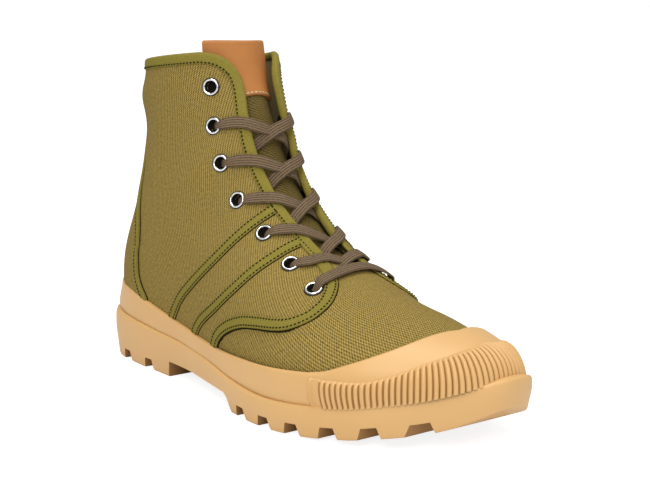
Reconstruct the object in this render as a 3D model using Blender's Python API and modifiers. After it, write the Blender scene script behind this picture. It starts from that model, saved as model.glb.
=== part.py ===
"""Canvas ankle boot, right foot, as an assembly of separate pieces.

Tables and sizes are in millimetres, in the boot's own frame: x runs from the back of the heel (0)
to the tip of the toe (300), y is positive on the medial (inner) side, and z = 0 is the floor.
The frame empty moves all of it so that the origin lies on the floor under the middle of the sole.
"""
import math
from collections import namedtuple

import bpy
import bmesh
import numpy as np
from mathutils import Vector

MM = 0.001
LATERAL, MEDIAL = -1, 1
SIDE_NAMES = {LATERAL: "lateral", MEDIAL: "medial"}

# Driving sizes
SOLE_LENGTH = 300.0
SOLE_CENTRE_Y = -1.5
GAP = 0.3
WALL = 2.0
# Height of a curved overlay's underside over the upper, which leaves room for the flat faces of both.
OVERLAY_LIFT = 0.7

# The upper as a fan of sections, from the toe tip to the collar. Each section is a plane curve from the
# ridge (instep line) down both sides to the base (the feather edge of the sole, then the heel's back line).
# lateral and medial are the y of its widest points, *_base the y of its ends. full is the fullness of the
# curve at its ridge end and base end: 2 is an ellipse, more is boxier.
Section = namedtuple("Section", "ridge_x ridge_z base_x base_z centre lateral medial "
                                "lateral_base medial_base ridge_full base_full")
SECTIONS = [
    Section(292.0, 35.0, 292.0, 30.2, 13.0, 13.0, 13.0, 13.0, 13.0, 2.00, 2.00),
    Section(289.5, 41.5, 290.0, 29.5, 13.0, -1.0, 27.0, -1.0, 27.0, 2.00, 2.10),
    Section(282.3, 47.0, 282.3, 27.5, 12.0, -14.0, 36.0, -13.5, 36.0, 1.95, 2.20),
    Section(269.0, 52.0, 268.0, 24.2, 10.0, -27.5, 43.5, -26.5, 43.0, 1.85, 2.20),
    Section(251.0, 57.5, 249.0, 20.9, 7.0, -40.5, 47.0, -39.0, 46.5, 1.80, 2.20),
    Section(229.0, 64.0, 224.0, 18.2, 4.0, -49.0, 47.0, -47.5, 46.5, 1.75, 2.20),
    Section(207.0, 72.0, 196.0, 16.9, 2.5, -52.0, 44.5, -51.0, 43.5, 1.80, 2.20),
    Section(186.0, 81.5, 165.0, 18.7, 2.0, -49.0, 41.0, -48.0, 37.5, 1.90, 2.15),
    Section(168.0, 93.5, 132.0, 21.6, 1.5, -44.0, 37.5, -41.5, 32.5, 2.00, 2.10),
    Section(154.0, 107.0, 98.0, 23.8, 1.0, -39.5, 36.0, -36.3, 31.5, 2.00, 2.10),
    Section(145.0, 120.0, 66.0, 25.8, 0.5, -37.0, 36.0, -35.0, 32.5, 2.00, 2.15),
    Section(139.0, 131.0, 38.0, 27.5, 0.0, -36.5, 36.0, -32.5, 31.5, 2.00, 2.25),
    Section(135.0, 140.0, 17.0, 28.6, 0.0, -36.0, 36.0, -24.5, 24.5, 2.00, 2.35),
    Section(133.0, 144.0, 8.5, 29.3, 0.0, -35.8, 35.8, -14.0, 14.0, 2.00, 2.40),
    Section(131.5, 147.5, 5.0, 30.0, 0.0, -35.5, 35.5, 0.0, 0.0, 2.00, 2.40),
    Section(128.5, 153.0, 4.5, 46.0, 0.0, -34.0, 34.5, 0.0, 0.0, 2.00, 2.25),
    Section(125.5, 159.0, 15.5, 74.0, 0.0, -33.0, 33.5, 0.0, 0.0, 2.00, 2.00),
    Section(122.0, 166.0, 25.5, 106.0, 0.0, -32.7, 33.2, 0.0, 0.0, 2.00, 2.00),
    Section(119.0, 174.0, 29.0, 142.0, 0.0, -33.0, 33.5, 0.0, 0.0, 2.00, 2.00),
    Section(117.0, 181.0, 32.0, 177.0, 0.0, -33.0, 33.0, 0.0, 0.0, 2.00, 2.00),
]
COLLAR = len(SECTIONS) - 1
HEEL_SECTION = 14

# Half width of the throat slot at a section, from its front end to the rounded corners of the collar.
ThroatRow = namedtuple("ThroatRow", "section half")
THROAT = [
    ThroatRow(6.3, 0.0), ThroatRow(6.45, 6.5), ThroatRow(6.75, 8.6), ThroatRow(7.5, 9.2),
    ThroatRow(9.0, 11.5), ThroatRow(12.0, 12.4), ThroatRow(15.0, 11.5), ThroatRow(17.0, 10.0),
    ThroatRow(18.0, 10.6), ThroatRow(18.5, 12.6), ThroatRow(18.8, 15.5), ThroatRow(19.0, 20.0),
]

# Outline of the sole seen from above, once round from the heel's back along the lateral side.
OutlineRow = namedtuple("OutlineRow", "x y")
OUTLINE = [
    OutlineRow(0, 0), OutlineRow(8, -22), OutlineRow(25, -35), OutlineRow(50, -39), OutlineRow(80, -40),
    OutlineRow(110, -42), OutlineRow(140, -48), OutlineRow(165, -53), OutlineRow(190, -56),
    OutlineRow(215, -54), OutlineRow(240, -47), OutlineRow(262, -36), OutlineRow(282, -18),
    OutlineRow(295, 0), OutlineRow(300, 14), OutlineRow(296, 32), OutlineRow(283, 43), OutlineRow(262, 50),
    OutlineRow(235, 53), OutlineRow(210, 51), OutlineRow(180, 45), OutlineRow(150, 39), OutlineRow(120, 36),
    OutlineRow(90, 36), OutlineRow(60, 37.5), OutlineRow(30, 35), OutlineRow(9, 23),
]
TOE_POINT = 14

# Heights along the sole: ground is the line of the tread (toe spring), lip the outsole's top edge, foxing
# the top of the rubber band above it.
HeightRow = namedtuple("HeightRow", "x ground lip foxing")
HEIGHTS = [
    HeightRow(0, 0, 28.7, 45.2), HeightRow(40, 0, 26.9, 43.0), HeightRow(80, 0, 24.2, 36.0),
    HeightRow(110, 0, 22.5, 31.6), HeightRow(140, 0, 20.5, 29.2), HeightRow(170, 0, 17.4, 29.7),
    HeightRow(200, 0, 16.0, 31.3), HeightRow(230, 1.5, 18.0, 33.9), HeightRow(260, 5.5, 21.9, 37.0),
    HeightRow(290, 11.8, 29.1, 42.0), HeightRow(305, 16.0, 35.8, 46.0),
]

# Tread: grooves across the sole between lugs, given by their rear edge at the ground.
HEEL_GROOVES = [35.0, 61.0]
FOREFOOT_GROOVES = [173.0, 194.0, 213.5, 234.0, 254.0, 273.0]
GROOVE_WIDTH = 8.0
GROOVE_DEPTH = 6.0
GROOVE_DRAFT = 1.0
HEEL_BREAST = 88.5
FOREFOOT_START = 166.0
ARCH_HEIGHT = 9.5
HEEL_ROUND = 7.0
TREAD_INSET = 2.3
SIDE_BREAK = 0.62

# Rubber round the foot
PARTING_X = 225.4
FOXING_TOP, FOXING_BOTTOM = 1.3, 2.9
# Height just over the feather edge, where the rubber's outline is read.
FEATHER_HEIGHT = 31.0
CAP_THICKNESS = 1.6
CAP_END = 0.94
TOE_CENTRE = (245.0, 4.0)
HEEL_CENTRE = (42.0, 0.0)
BUMPER_SWEEP = 106.5
BUMPER_MIDDLE = 1.3
BUMPER_LIFT = 0.8
RIB_COUNT = 50
RIB_VALLEY, RIB_PEAK = 1.6, 2.6
# Top of the ribbed band against the angle from the toe's middle line.
BumperRow = namedtuple("BumperRow", "angle top")
BUMPER_TOP = [BumperRow(0, 48.0), BumperRow(25, 45.5), BumperRow(45, 42.5), BumperRow(60, 39.5),
              BumperRow(75, 36.0), BumperRow(90, 33.2), BumperRow(110, 32.0)]
# Upper edge of the smooth toe cap: share of the way from ridge to base at a section.
CapRow = namedtuple("CapRow", "section share")
CAP_EDGE = [CapRow(3.10, 0.0), CapRow(3.22, 0.15), CapRow(3.34, 0.29), CapRow(3.52, 0.42),
            CapRow(3.76, 0.525), CapRow(4.04, 0.615), CapRow(4.30, 0.68), CapRow(4.60, 0.745),
            CapRow(4.90, 0.785)]

# Insole
INSOLE_HEEL, INSOLE_TOE = 10.0, 284.5
INSOLE_SHARE = 0.79
INSOLE_THICKNESS = 3.0

# Tongue and its leather tab
TONGUE_THICKNESS = 2.5
TONGUE_START = 5.7
TONGUE_RISE = 5.2
TONGUE_DROP, TONGUE_TAB_DROP = 4.0, 5.6
TongueRow = namedtuple("TongueRow", "section half")
TONGUE_HALF = [TongueRow(5.7, 13.0), TongueRow(7.0, 18.0), TongueRow(12.0, 22.0), TongueRow(19.0, 23.0)]
TAB_HALF = 20.5
TAB_START, TAB_BACK_END = 16.4, 18.2
TAB_THICKNESS = 1.0

# Tapes and reinforcements laid on the upper
TAPE_THICKNESS = 0.8
BINDING_WIDTH, BINDING_INSIDE = 5.0, 3.0
BINDING_START = 6.9
BINDING_THICKNESS = 0.8
TAPE_WIDTH = 5.5
BAND_WIDTH = 5.5
# A place on the upper: section number, and share of the way from ridge to base.
Place = namedtuple("Place", "section share")
QUARTER_EDGE = [Place(6.35, 0.20), Place(6.00, 0.235), Place(5.72, 0.33), Place(5.68, 0.44),
                Place(5.90, 0.545), Place(6.25, 0.60), Place(6.75, 0.655), Place(7.15, 0.70),
                Place(7.57, 0.775), Place(7.80, 0.85)]
UPPER_BAND = [Place(8.86, 0.245), Place(8.88, 0.33), Place(8.94, 0.44), Place(9.06, 0.57),
              Place(9.28, 0.70), Place(9.48, 0.81), Place(9.50, 0.875)]
LOWER_BAND = [Place(7.63, 0.25), Place(7.67, 0.35), Place(7.78, 0.47), Place(7.94, 0.60),
              Place(8.22, 0.74), Place(8.48, 0.83)]
BACKSTAY_THICKNESS = 0.8
BACKSTAY_LIFT = 0.85
BACKSTAY_CENTRE = (56.0, 0.0)
# Front edge of the heel's backstay, from the foxing to the collar.
BackstayRow = namedtuple("BackstayRow", "z edge_x")
BACKSTAY = [BackstayRow(40.5, 61), BackstayRow(51, 52), BackstayRow(60, 50.5),
            BackstayRow(82, 50), BackstayRow(96, 47), BackstayRow(108, 42.5), BackstayRow(122, 39),
            BackstayRow(140, 38), BackstayRow(156, 38.5), BackstayRow(170.5, 40)]
PATCH_RADIUS = 18.5
PATCH_THICKNESS = 1.4
PATCH_HEIGHT, PATCH_X = 129.0, 64.0
PATCH_STEPS = 12

# Eyelets and lace
EyeletRow = namedtuple("EyeletRow", "section half")
EYELETS = [EyeletRow(17.50, 22.5), EyeletRow(15.50, 23.0), EyeletRow(11.80, 24.0), EyeletRow(9.95, 23.5),
           EyeletRow(8.40, 24.0), EyeletRow(7.20, 24.5), EyeletRow(6.22, 26.0)]
EYELET_SEGMENTS = 8
# Section of a pressed eyelet: radius and height over the canvas.
EyeletPoint = namedtuple("EyeletPoint", "radius height")
EYELET_PROFILE = [EyeletPoint(2.4, 0.5), EyeletPoint(3.4, 1.2), EyeletPoint(4.6, 0.3),
                  EyeletPoint(2.8, 0.3), EyeletPoint(2.8, -2.6), EyeletPoint(2.4, -2.6)]
EYELET_HOLE = 3.3
HOLE_SIDES = 8
LACE_WIDTH, LACE_THICKNESS = 6.0, 1.4
LACE_START = 18.6
# Height of a lace strip over the upper's surface, by distance across from the edge it starts at.
LaceRow = namedtuple("LaceRow", "across lift down")
LACE_UNDER = [LaceRow(-18.6, 2.8, 0.0), LaceRow(-13.0, 3.5, 0.08), LaceRow(-8.5, 3.3, 0.2),
              LaceRow(-4.0, 1.2, 0.31), LaceRow(0.0, -0.4, 0.42), LaceRow(4.6, -1.1, 0.54)]
LACE_OVER_RISE = 1.2
LACE_BAR_LIFT = 3.0

# Colours (linear) and finish: colour, roughness, metallic
MATERIALS = {
    "canvas": ((0.145, 0.112, 0.030), 0.90, 0.0),
    "tape": ((0.150, 0.135, 0.022), 0.85, 0.0),
    "rubber": ((0.640, 0.370, 0.130), 0.60, 0.0),
    "lace": ((0.105, 0.075, 0.045), 0.90, 0.0),
    "leather": ((0.500, 0.240, 0.100), 0.55, 0.0),
    "eyelet_metal": ((0.70, 0.70, 0.68), 0.25, 1.0),
    "insole_cloth": ((0.300, 0.240, 0.120), 0.90, 0.0),
}


def clear_scene():
    for item in list(bpy.data.objects):
        bpy.data.objects.remove(item, do_unlink=True)


def make_collection(name):
    group = bpy.data.collections.new(name)
    bpy.context.scene.collection.children.link(group)
    return group


def make_material(name):
    colour, roughness, metallic = MATERIALS[name]
    material = bpy.data.materials.new(name)
    material.use_nodes = True
    shader = material.node_tree.nodes["Principled BSDF"]
    shader.inputs["Base Color"].default_value = (*colour, 1.0)
    shader.inputs["Roughness"].default_value = roughness
    shader.inputs["Metallic"].default_value = metallic
    return material


clear_scene()
BOOT = make_collection("canvas_ankle_boot")
CUTTERS = make_collection("cutters")
FINISH = {name: make_material(name) for name in MATERIALS}
FRAME = bpy.data.objects.new("boot_frame", None)
FRAME.location = (-0.5 * SOLE_LENGTH * MM, -SOLE_CENTRE_Y * MM, 0.0)
BOOT.objects.link(FRAME)


# Curves through a table

def smooth(where, places, values):
    """Cubic curve through a table with slopes taken from the neighbours."""
    places = np.asarray(places, float)
    values = np.asarray(values, float)
    slopes = np.gradient(values, places)
    where = np.clip(np.asarray(where, float), places[0], places[-1])
    i = np.clip(np.searchsorted(places, where, side="right") - 1, 0, len(places) - 2)
    span = places[i + 1] - places[i]
    f = (where - places[i]) / span
    return ((1 + 2 * f) * (1 - f) ** 2 * values[i] + f * (1 - f) ** 2 * span * slopes[i]
            + f ** 2 * (3 - 2 * f) * values[i + 1] + f ** 2 * (f - 1) * span * slopes[i + 1])


def column(table, name):
    return np.array([getattr(row, name) for row in table], float)


def read_table(table, key, name, where):
    return smooth(where, column(table, key), column(table, name))


def sole_height(name, x):
    return read_table(HEIGHTS, "x", name, x)


SECTION_COLUMNS = np.array(SECTIONS, float)


def section_at(k):
    """All columns of the section table at a section number with a fraction."""
    k = np.clip(np.asarray(k, float), 0, COLLAR)
    i = np.minimum(k.astype(int), COLLAR - 1)
    f = (k - i)[..., None]
    start, end = SECTION_COLUMNS[i], SECTION_COLUMNS[i + 1]
    before = np.where((i > 0)[..., None], SECTION_COLUMNS[np.maximum(i - 1, 0)], 2 * start - end)
    after = np.where((i < COLLAR - 1)[..., None], SECTION_COLUMNS[np.minimum(i + 2, COLLAR)], 2 * end - start)
    cubic = 3 * start - before - 3 * end + after
    square = 2 * before - 5 * start + 4 * end - after
    values = start + 0.5 * f * (end - before + f * (square + f * cubic))
    row = Section(*np.moveaxis(values, -1, 0))
    closed = k >= HEEL_SECTION
    return row._replace(lateral_base=np.where(closed, row.centre, row.lateral_base),
                        medial_base=np.where(closed, row.centre, row.medial_base))


def signed_power(value, power):
    return np.sign(value) * np.abs(value) ** power


def section_widths(row, side):
    """Half width of a section at its widest and at its base, on one side."""
    widest = row.lateral if side == LATERAL else row.medial
    base = row.lateral_base if side == LATERAL else row.medial_base
    wide = np.abs(widest - row.centre)
    foot = np.minimum(np.abs(base - row.centre), wide)
    return wide, foot


def end_angle(row, wide, foot):
    ratio = foot / np.maximum(wide, 1e-6)
    return math.pi - np.arcsin(np.clip(ratio, 0, 1) ** (0.5 * row.base_full))


def upper_point(k, s, side):
    """Point of the upper's outer face: section k, share s from ridge (0) to base (1)."""
    k, s = np.broadcast_arrays(np.asarray(k, float), np.asarray(s, float))
    row = section_at(k)
    wide, foot = section_widths(row, side)
    end = end_angle(row, wide, foot)
    power = 2.0 / (row.ridge_full + (row.base_full - row.ridge_full) * s)
    depth = 1 - signed_power(np.cos(s * end), power)
    depth = depth / (1 - signed_power(np.cos(end), 2.0 / row.base_full))
    y = row.centre + side * wide * np.abs(np.sin(s * end)) ** power
    x = row.ridge_x + (row.base_x - row.ridge_x) * depth
    z = row.ridge_z + (row.base_z - row.ridge_z) * depth
    return np.stack([x, y, z], -1)


def upper_slopes(k, s, side, step=0.002):
    """Change of the outer face's point with section and with share."""
    k, s = np.broadcast_arrays(np.asarray(k, float), np.asarray(s, float))
    k_low, k_high = np.maximum(k - step, 0), np.minimum(k + step, COLLAR)
    s_low, s_high = np.maximum(s - step, 0), np.minimum(s + step, 1)
    along = upper_point(k_high, s, side) - upper_point(k_low, s, side)
    down = upper_point(k, s_high, side) - upper_point(k, s_low, side)
    return along / (k_high - k_low)[..., None], down / (s_high - s_low)[..., None]


def upper_normal(k, s, side):
    along, down = upper_slopes(k, s, side)
    normal = -side * np.cross(along, down)
    return normal / np.maximum(np.linalg.norm(normal, axis=-1, keepdims=True), 1e-9)


def skin(k, s, side, lift):
    """Point at a height over the upper's outer face."""
    return upper_point(k, s, side) + upper_normal(k, s, side) * np.asarray(lift, float)[..., None]


def share_at_half(k, half, side):
    """Share at which a section lies a given distance to the side of its ridge."""
    row = section_at(k)
    wide, foot = section_widths(row, side)
    angle = np.arcsin(np.clip(half / np.maximum(wide, 1e-6), 0, 1) ** (0.5 * row.ridge_full))
    return angle / end_angle(row, wide, foot)


def throat_share(k, side):
    half = np.where(k <= THROAT[0].section, 0.0,
                    np.interp(k, column(THROAT, "section"), column(THROAT, "half")))
    return share_at_half(k, half, side)


def shifted(k, s, side, step):
    """Section and share reached by walking a step over the outer face."""
    along, down = upper_slopes(np.array(k), np.array(s), side)
    change = np.linalg.lstsq(np.stack([along, down], 1), np.asarray(step, float), rcond=None)[0]
    return float(np.clip(k + change[0], 0, COLLAR)), float(np.clip(s + change[1], 0, 1))


def wall_place(origin, direction, z, samples=120):
    """Place on the upper at height z where a level ray from inside meets the wall."""
    all_sections = np.linspace(0, COLLAR, 40 * COLLAR + 1)
    heel_sections = all_sections[all_sections >= HEEL_SECTION]
    front = np.interp(z, section_at(all_sections).ridge_z, all_sections)
    back = np.interp(z, section_at(heel_sections).base_z, heel_sections)
    k = np.linspace(front, back, samples)
    shares = np.linspace(0, 1, 60)
    best = None
    for side in (LATERAL, MEDIAL):
        heights = upper_point(k[:, None], shares[None, :], side)[..., 2]
        s = np.array([np.interp(-z, -row, shares) for row in heights])
        s[-1] = 1.0
        offset = upper_point(k, s, side)[:, :2] - np.asarray(origin)
        across = offset[:, 0] * direction[1] - offset[:, 1] * direction[0]
        ahead = offset @ np.asarray(direction)
        for i in range(samples - 1):
            if across[i] * across[i + 1] > 1e-6 or ahead[i] + ahead[i + 1] <= 0:
                continue
            width = across[i] - across[i + 1]
            f = float(np.clip(across[i] / width, 0, 1)) if abs(width) > 1e-6 else 0.0
            found = (k[i] + f * (k[i + 1] - k[i]), s[i] + f * (s[i + 1] - s[i]), side)
            if best is None or ahead[i] > best[0]:
                best = (ahead[i], found)
    return best[1]


# Making objects

def finish_object(name, mesh, material, group=None):
    item = bpy.data.objects.new(name, mesh)
    (group or BOOT).objects.link(item)
    item.parent = FRAME
    if material:
        mesh.materials.clear()
        mesh.materials.append(FINISH[material])
    return item


def mesh_from(name, bm):
    bmesh.ops.remove_doubles(bm, verts=bm.verts, dist=1e-6)
    mesh = bpy.data.meshes.new(name)
    bm.to_mesh(mesh)
    bm.free()
    mesh.shade_smooth()
    mesh.set_sharp_from_angle(angle=math.radians(40))
    return mesh


def sheet(name, panels, thickness, outward, material):
    """Open surface from grids of points (in mm), thickened to one side. A panel is (grid, flip)."""
    bm = bmesh.new()
    for grid, flip in panels:
        rows = [[bm.verts.new(point * MM) for point in row] for row in grid]
        for low, high in zip(rows, rows[1:]):
            for j in range(len(low) - 1):
                corners = [low[j], high[j], high[j + 1], low[j + 1]]
                bm.faces.new(corners[::-1] if flip else corners)
    item = finish_object(name, mesh_from(name, bm), material)
    wall = item.modifiers.new("wall", "SOLIDIFY")
    wall.thickness = thickness * MM
    wall.offset = 1.0 if outward else -1.0
    wall.use_even_offset = True
    return item


def loft(name, rings, material, group=None):
    """Solid through closed rings of points (in mm) that run up one face and back down the other."""
    bm = bmesh.new()
    rows = [[bm.verts.new(np.asarray(point) * MM) for point in ring] for ring in rings]
    count = len(rings[0])
    for low, high in zip(rows, rows[1:]):
        for j in range(count):
            after = (j + 1) % count
            bm.faces.new([low[j], high[j], high[after], low[after]])
    for ring in (rows[0], rows[-1]):
        for j in range(count // 2 - 1):
            bm.faces.new([ring[j], ring[j + 1], ring[count - 2 - j], ring[count - 1 - j]])
    bmesh.ops.remove_doubles(bm, verts=bm.verts, dist=1e-6)
    bmesh.ops.recalc_face_normals(bm, faces=bm.faces)
    return finish_object(name, mesh_from(name, bm), material, group)


def cut_with(item, cutter, operation):
    boolean = item.modifiers.new("joined", "BOOLEAN")
    boolean.operation = operation
    boolean.object = cutter
    cutter.hide_render = True
    cutter.display_type = "WIRE"


# Sole

def outline_halves(steps=12):
    """Lateral and medial halves of the outline as dense x and y, heel to toe."""
    points = np.array(OUTLINE, float)
    f = np.linspace(0, 1, steps, endpoint=False)[:, None]
    dense = []
    for i in range(len(points)):
        before, start, end, after = (points[(i + j) % len(points)] for j in (-1, 0, 1, 2))
        square = 2 * before - 5 * start + 4 * end - after
        cubic = 3 * start - before - 3 * end + after
        dense.append(start + 0.5 * f * (end - before + f * (square + f * cubic)))
    dense = np.concatenate(dense)
    toe = TOE_POINT * steps
    return dense[:toe + 1], np.concatenate([dense[toe:], dense[:1]])[::-1]


LATERAL_HALF, MEDIAL_HALF = outline_halves()


def outline_y(x):
    """Lateral and medial y of the outsole's outline."""
    return (np.interp(x, LATERAL_HALF[:, 0], LATERAL_HALF[:, 1]),
            np.interp(x, MEDIAL_HALF[:, 0], MEDIAL_HALF[:, 1]))


def ground_height(x):
    """Height of the tread line, flat under the heel and the ball of the foot."""
    return max(0.0, float(sole_height("ground", x)))


def tread_profile():
    """Stations along the sole with the height of the underside there."""
    profile = [(0.6, 4.2), (2.2, 2.0), (HEEL_ROUND, 0.0), (20.0, 0.0)]
    for rear in HEEL_GROOVES:
        profile += groove(rear)
    profile += [(HEEL_BREAST, 0.0), (HEEL_BREAST + GROOVE_DRAFT, ARCH_HEIGHT)]
    profile += [(x, ARCH_HEIGHT) for x in (104.0, 120.0, 136.0, 150.0)]
    profile += [(FOREFOOT_START - 3.0, ARCH_HEIGHT - 2.0), (FOREFOOT_START, 0.0)]
    for rear in FOREFOOT_GROOVES:
        profile += groove(rear)
    for x in (288.0, 293.0, 297.0, 299.4):
        profile.append((x, ground_height(x)))
    return profile


def groove(rear):
    front = rear + GROOVE_WIDTH
    return [(x, ground_height(x) + depth) for x, depth in (
        (rear, 0.0), (rear + GROOVE_DRAFT, GROOVE_DEPTH),
        (front - GROOVE_DRAFT, GROOVE_DEPTH), (front, 0.0))]


def build_outsole():
    """Block with the outline, a drafted side, the toe spring, arch and lugs."""
    rings = []
    inset = 1.0 - 2.0 * TREAD_INSET / SOLE_LENGTH
    for x, under in tread_profile():
        lateral, medial = outline_y(x)
        middle = 0.5 * (lateral + medial)
        half = 0.5 * (medial - lateral)
        low_half = half * (1.0 - TREAD_INSET / max(half, 4 * TREAD_INSET))
        low_x = 0.5 * SOLE_LENGTH + (x - 0.5 * SOLE_LENGTH) * inset
        top = float(sole_height("lip", x))
        side = under + (top - under) * SIDE_BREAK
        rings.append([(low_x, middle - low_half, under), (x, lateral, side), (x, lateral, top),
                      (x, medial, top), (x, medial, side), (low_x, middle + low_half, under)])
    loft("outsole", rings, "rubber")


def build_insole():
    rings = []
    for x in [1.0, 4.0, 10.0] + list(range(20, 290, 15)) + [294.0, 299.2]:
        lateral, medial = outline_y(x)
        middle, half = 0.5 * (lateral + medial), 0.5 * (medial - lateral) * INSOLE_SHARE
        place = INSOLE_HEEL + (INSOLE_TOE - INSOLE_HEEL) * x / SOLE_LENGTH
        low = float(sole_height("lip", place)) + 1.5 * GAP
        high = low + INSOLE_THICKNESS
        rings.append([(place, middle - half, low), (place, middle - half, high),
                      (place, middle + half, high), (place, middle + half, low)])
    loft("insole", rings, "insole_cloth")


# Upper

def upper_rows():
    """Section numbers of the upper's rows: even steps, with the throat's own rows added."""
    even = np.arange(0, COLLAR + 0.01, 0.5)
    clear = [k for k in even if k == COLLAR or min(abs(k - row.section) for row in THROAT) > 0.1]
    return np.array(sorted(set(clear) | {row.section for row in THROAT}))


def upper_panels(columns=10):
    k = upper_rows()
    panels = []
    for side in (LATERAL, MEDIAL):
        first = throat_share(k, side)
        shares = first[:, None] + (1 - first)[:, None] * np.linspace(0, 1, columns + 1)[None, :]
        panels.append((upper_point(k[:, None], shares, side), side == MEDIAL))
    return panels


def eyelet_place(row, side):
    return row.section, float(share_at_half(np.array(row.section), row.half, side)), side


def build_upper():
    upper = sheet("upper", upper_panels(), WALL, False, "canvas")
    bm = bmesh.new()
    for row in EYELETS:
        for side in (LATERAL, MEDIAL):
            k, s, _ = eyelet_place(row, side)
            normal = Vector(upper_normal(k, s, side))
            turn = normal.to_track_quat("Z", "Y").to_matrix().to_4x4()
            turn.translation = Vector(upper_point(k, s, side)) * MM
            bmesh.ops.create_cone(bm, cap_ends=True, segments=HOLE_SIDES, radius1=EYELET_HOLE * MM,
                                  radius2=EYELET_HOLE * MM, depth=4 * WALL * MM, matrix=turn)
    holes = finish_object("eyelet_holes", mesh_from("eyelet_holes", bm), None, CUTTERS)
    cut_with(upper, holes, "DIFFERENCE")


# Rubber round the foot

def foxing_stations():
    """Rays from inside the foot out to the foxing, from the lateral parting line round the heel."""
    straight = np.linspace(PARTING_X, HEEL_CENTRE[0], 18)
    turns = np.radians(np.linspace(-90, -270, 15))[1:-1]
    rays = [((x, 0.0), (0.0, -1.0)) for x in straight]
    rays += [(HEEL_CENTRE, (math.cos(turn), math.sin(turn))) for turn in turns]
    rays += [((x, 0.0), (0.0, 1.0)) for x in straight[::-1]]
    return rays


def build_foxing():
    rings = []
    levels = (0.0, 0.35, 0.7, 1.0)
    for origin, direction in foxing_stations():
        middle = upper_point(*wall_place(origin, direction, FEATHER_HEIGHT))
        low = float(sole_height("lip", middle[0])) + GAP
        high = float(sole_height("foxing", middle[0]))
        inner, outer = [], []
        for level in levels:
            place = wall_place(origin, direction, low + level * (high - low))
            thickness = FOXING_BOTTOM + level * (FOXING_TOP - FOXING_BOTTOM)
            inner.append(skin(*place, OVERLAY_LIFT))
            outer.append(skin(*place, OVERLAY_LIFT + thickness))
        inner[0][2] = outer[0][2] = float(sole_height("lip", outer[0][0])) + GAP
        rings.append(inner + outer[::-1])
    loft("foxing", rings, "rubber")


def build_toe_cap(columns=9):
    k = np.array([0, 0.4, 0.8, 1.3, 1.8, 2.4] + [row.section for row in CAP_EDGE])
    first = np.where(k < CAP_EDGE[0].section, 0.0, np.interp(k, column(CAP_EDGE, "section"),
                                                           column(CAP_EDGE, "share")))
    panels = []
    for side in (LATERAL, MEDIAL):
        shares = first[:, None] + (CAP_END - first)[:, None] * np.linspace(0, 1, columns)[None, :]
        sections = np.broadcast_to(k[:, None], shares.shape)
        grid = skin(sections, shares, side, np.full(shares.shape, OVERLAY_LIFT))
        floor = sole_height("lip", grid[..., 0] + OVERLAY_LIFT + CAP_THICKNESS) + 2 * GAP
        grid[..., 2] = np.maximum(grid[..., 2], floor)
        grid[0, :, 1] = SECTIONS[0].centre
        grid[first == 0, 0, 1] = section_at(k[first == 0]).centre
        panels.append((grid, side == MEDIAL))
    sheet("toe_cap", panels, CAP_THICKNESS, True, "rubber")


def build_toe_bumper():
    """Ribbed band round the toe, a row of upright ribs on a strip."""
    rings = []
    base = OVERLAY_LIFT + CAP_THICKNESS + BUMPER_LIFT
    turns = np.linspace(-BUMPER_SWEEP, BUMPER_SWEEP, 2 * RIB_COUNT + 1)
    for i, turn in enumerate(turns):
        angle = math.radians(turn + BUMPER_MIDDLE)
        direction = (math.cos(angle), math.sin(angle))
        rib = RIB_PEAK if i % 2 else RIB_VALLEY
        top = float(read_table(BUMPER_TOP, "angle", "top", abs(turn)))
        foot = skin(*wall_place(TOE_CENTRE, direction, FEATHER_HEIGHT), base + RIB_PEAK)
        low = float(sole_height("lip", foot[0])) + GAP
        inner, outer = [], []
        for level, share in ((0.0, 1.0), (0.4, 1.0), (0.72, 1.0), (1.0, 0.7)):
            place = wall_place(TOE_CENTRE, direction, low + level * (top - low))
            inner.append(skin(*place, base))
            outer.append(skin(*place, base + rib * share))
        inner[0][2] = outer[0][2] = low
        rings.append(inner + outer[::-1])
    loft("toe_bumper", rings, "rubber")


# Tongue and tab

def tongue_drop(k):
    """Depth of the tongue's face under the upper's outer face, deeper where the tab lies on it."""
    return np.interp(k, (9.0, 14.0), (TONGUE_DROP, TONGUE_TAB_DROP))


def across_row(k, half, lift, rise, columns):
    """Points across the throat at a section, at a lift over the upper and a rise past its collar."""
    row = []
    for y in np.linspace(-half, half, columns):
        side = LATERAL if y < 0 else MEDIAL
        s = float(share_at_half(np.array(k), abs(y), side))
        point = skin(np.array(k), np.array(s), side, np.array(lift))
        if rise:
            before = skin(np.array(k - 0.4), np.array(s), side, np.array(lift))
            climb = point - before
            point = point + climb / np.linalg.norm(climb) * rise
        row.append(point)
    return row


def build_tongue(columns=9):
    rows = []
    for k in np.concatenate([np.linspace(TONGUE_START, 9, 9), np.linspace(10, COLLAR, 10)]):
        half = float(np.interp(k, column(TONGUE_HALF, "section"), column(TONGUE_HALF, "half")))
        rows.append(across_row(k, half, -tongue_drop(k), 0.0, columns))
    rows.append(across_row(COLLAR, TONGUE_HALF[-1].half, -TONGUE_TAB_DROP, TONGUE_RISE, columns))
    sheet("tongue", [(np.array(rows), True)], TONGUE_THICKNESS, False, "canvas")


def build_tongue_tab(columns=9):
    """Leather strip folded over the top of the tongue."""
    front = GAP - TONGUE_TAB_DROP
    back = -TONGUE_TAB_DROP - TONGUE_THICKNESS - GAP
    top = TONGUE_RISE + GAP
    rows = [across_row(k, TAB_HALF, front, 0.0, columns) for k in (TAB_START, 17.2, 18.0, COLLAR)]
    rows += [across_row(COLLAR, TAB_HALF, lift, top, columns) for lift in (front, back)]
    rows += [across_row(k, TAB_HALF, back, 0.0, columns) for k in (COLLAR, TAB_BACK_END)]
    sheet("tongue_tab", [(np.array(rows), True)], TAB_THICKNESS, True, "leather")


# Tapes and reinforcements

def curve_places(places, steps):
    index = np.arange(len(places))
    where = np.linspace(0, len(places) - 1, steps)
    return smooth(where, index, column(places, "section")), smooth(where, index, column(places, "share"))


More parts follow.
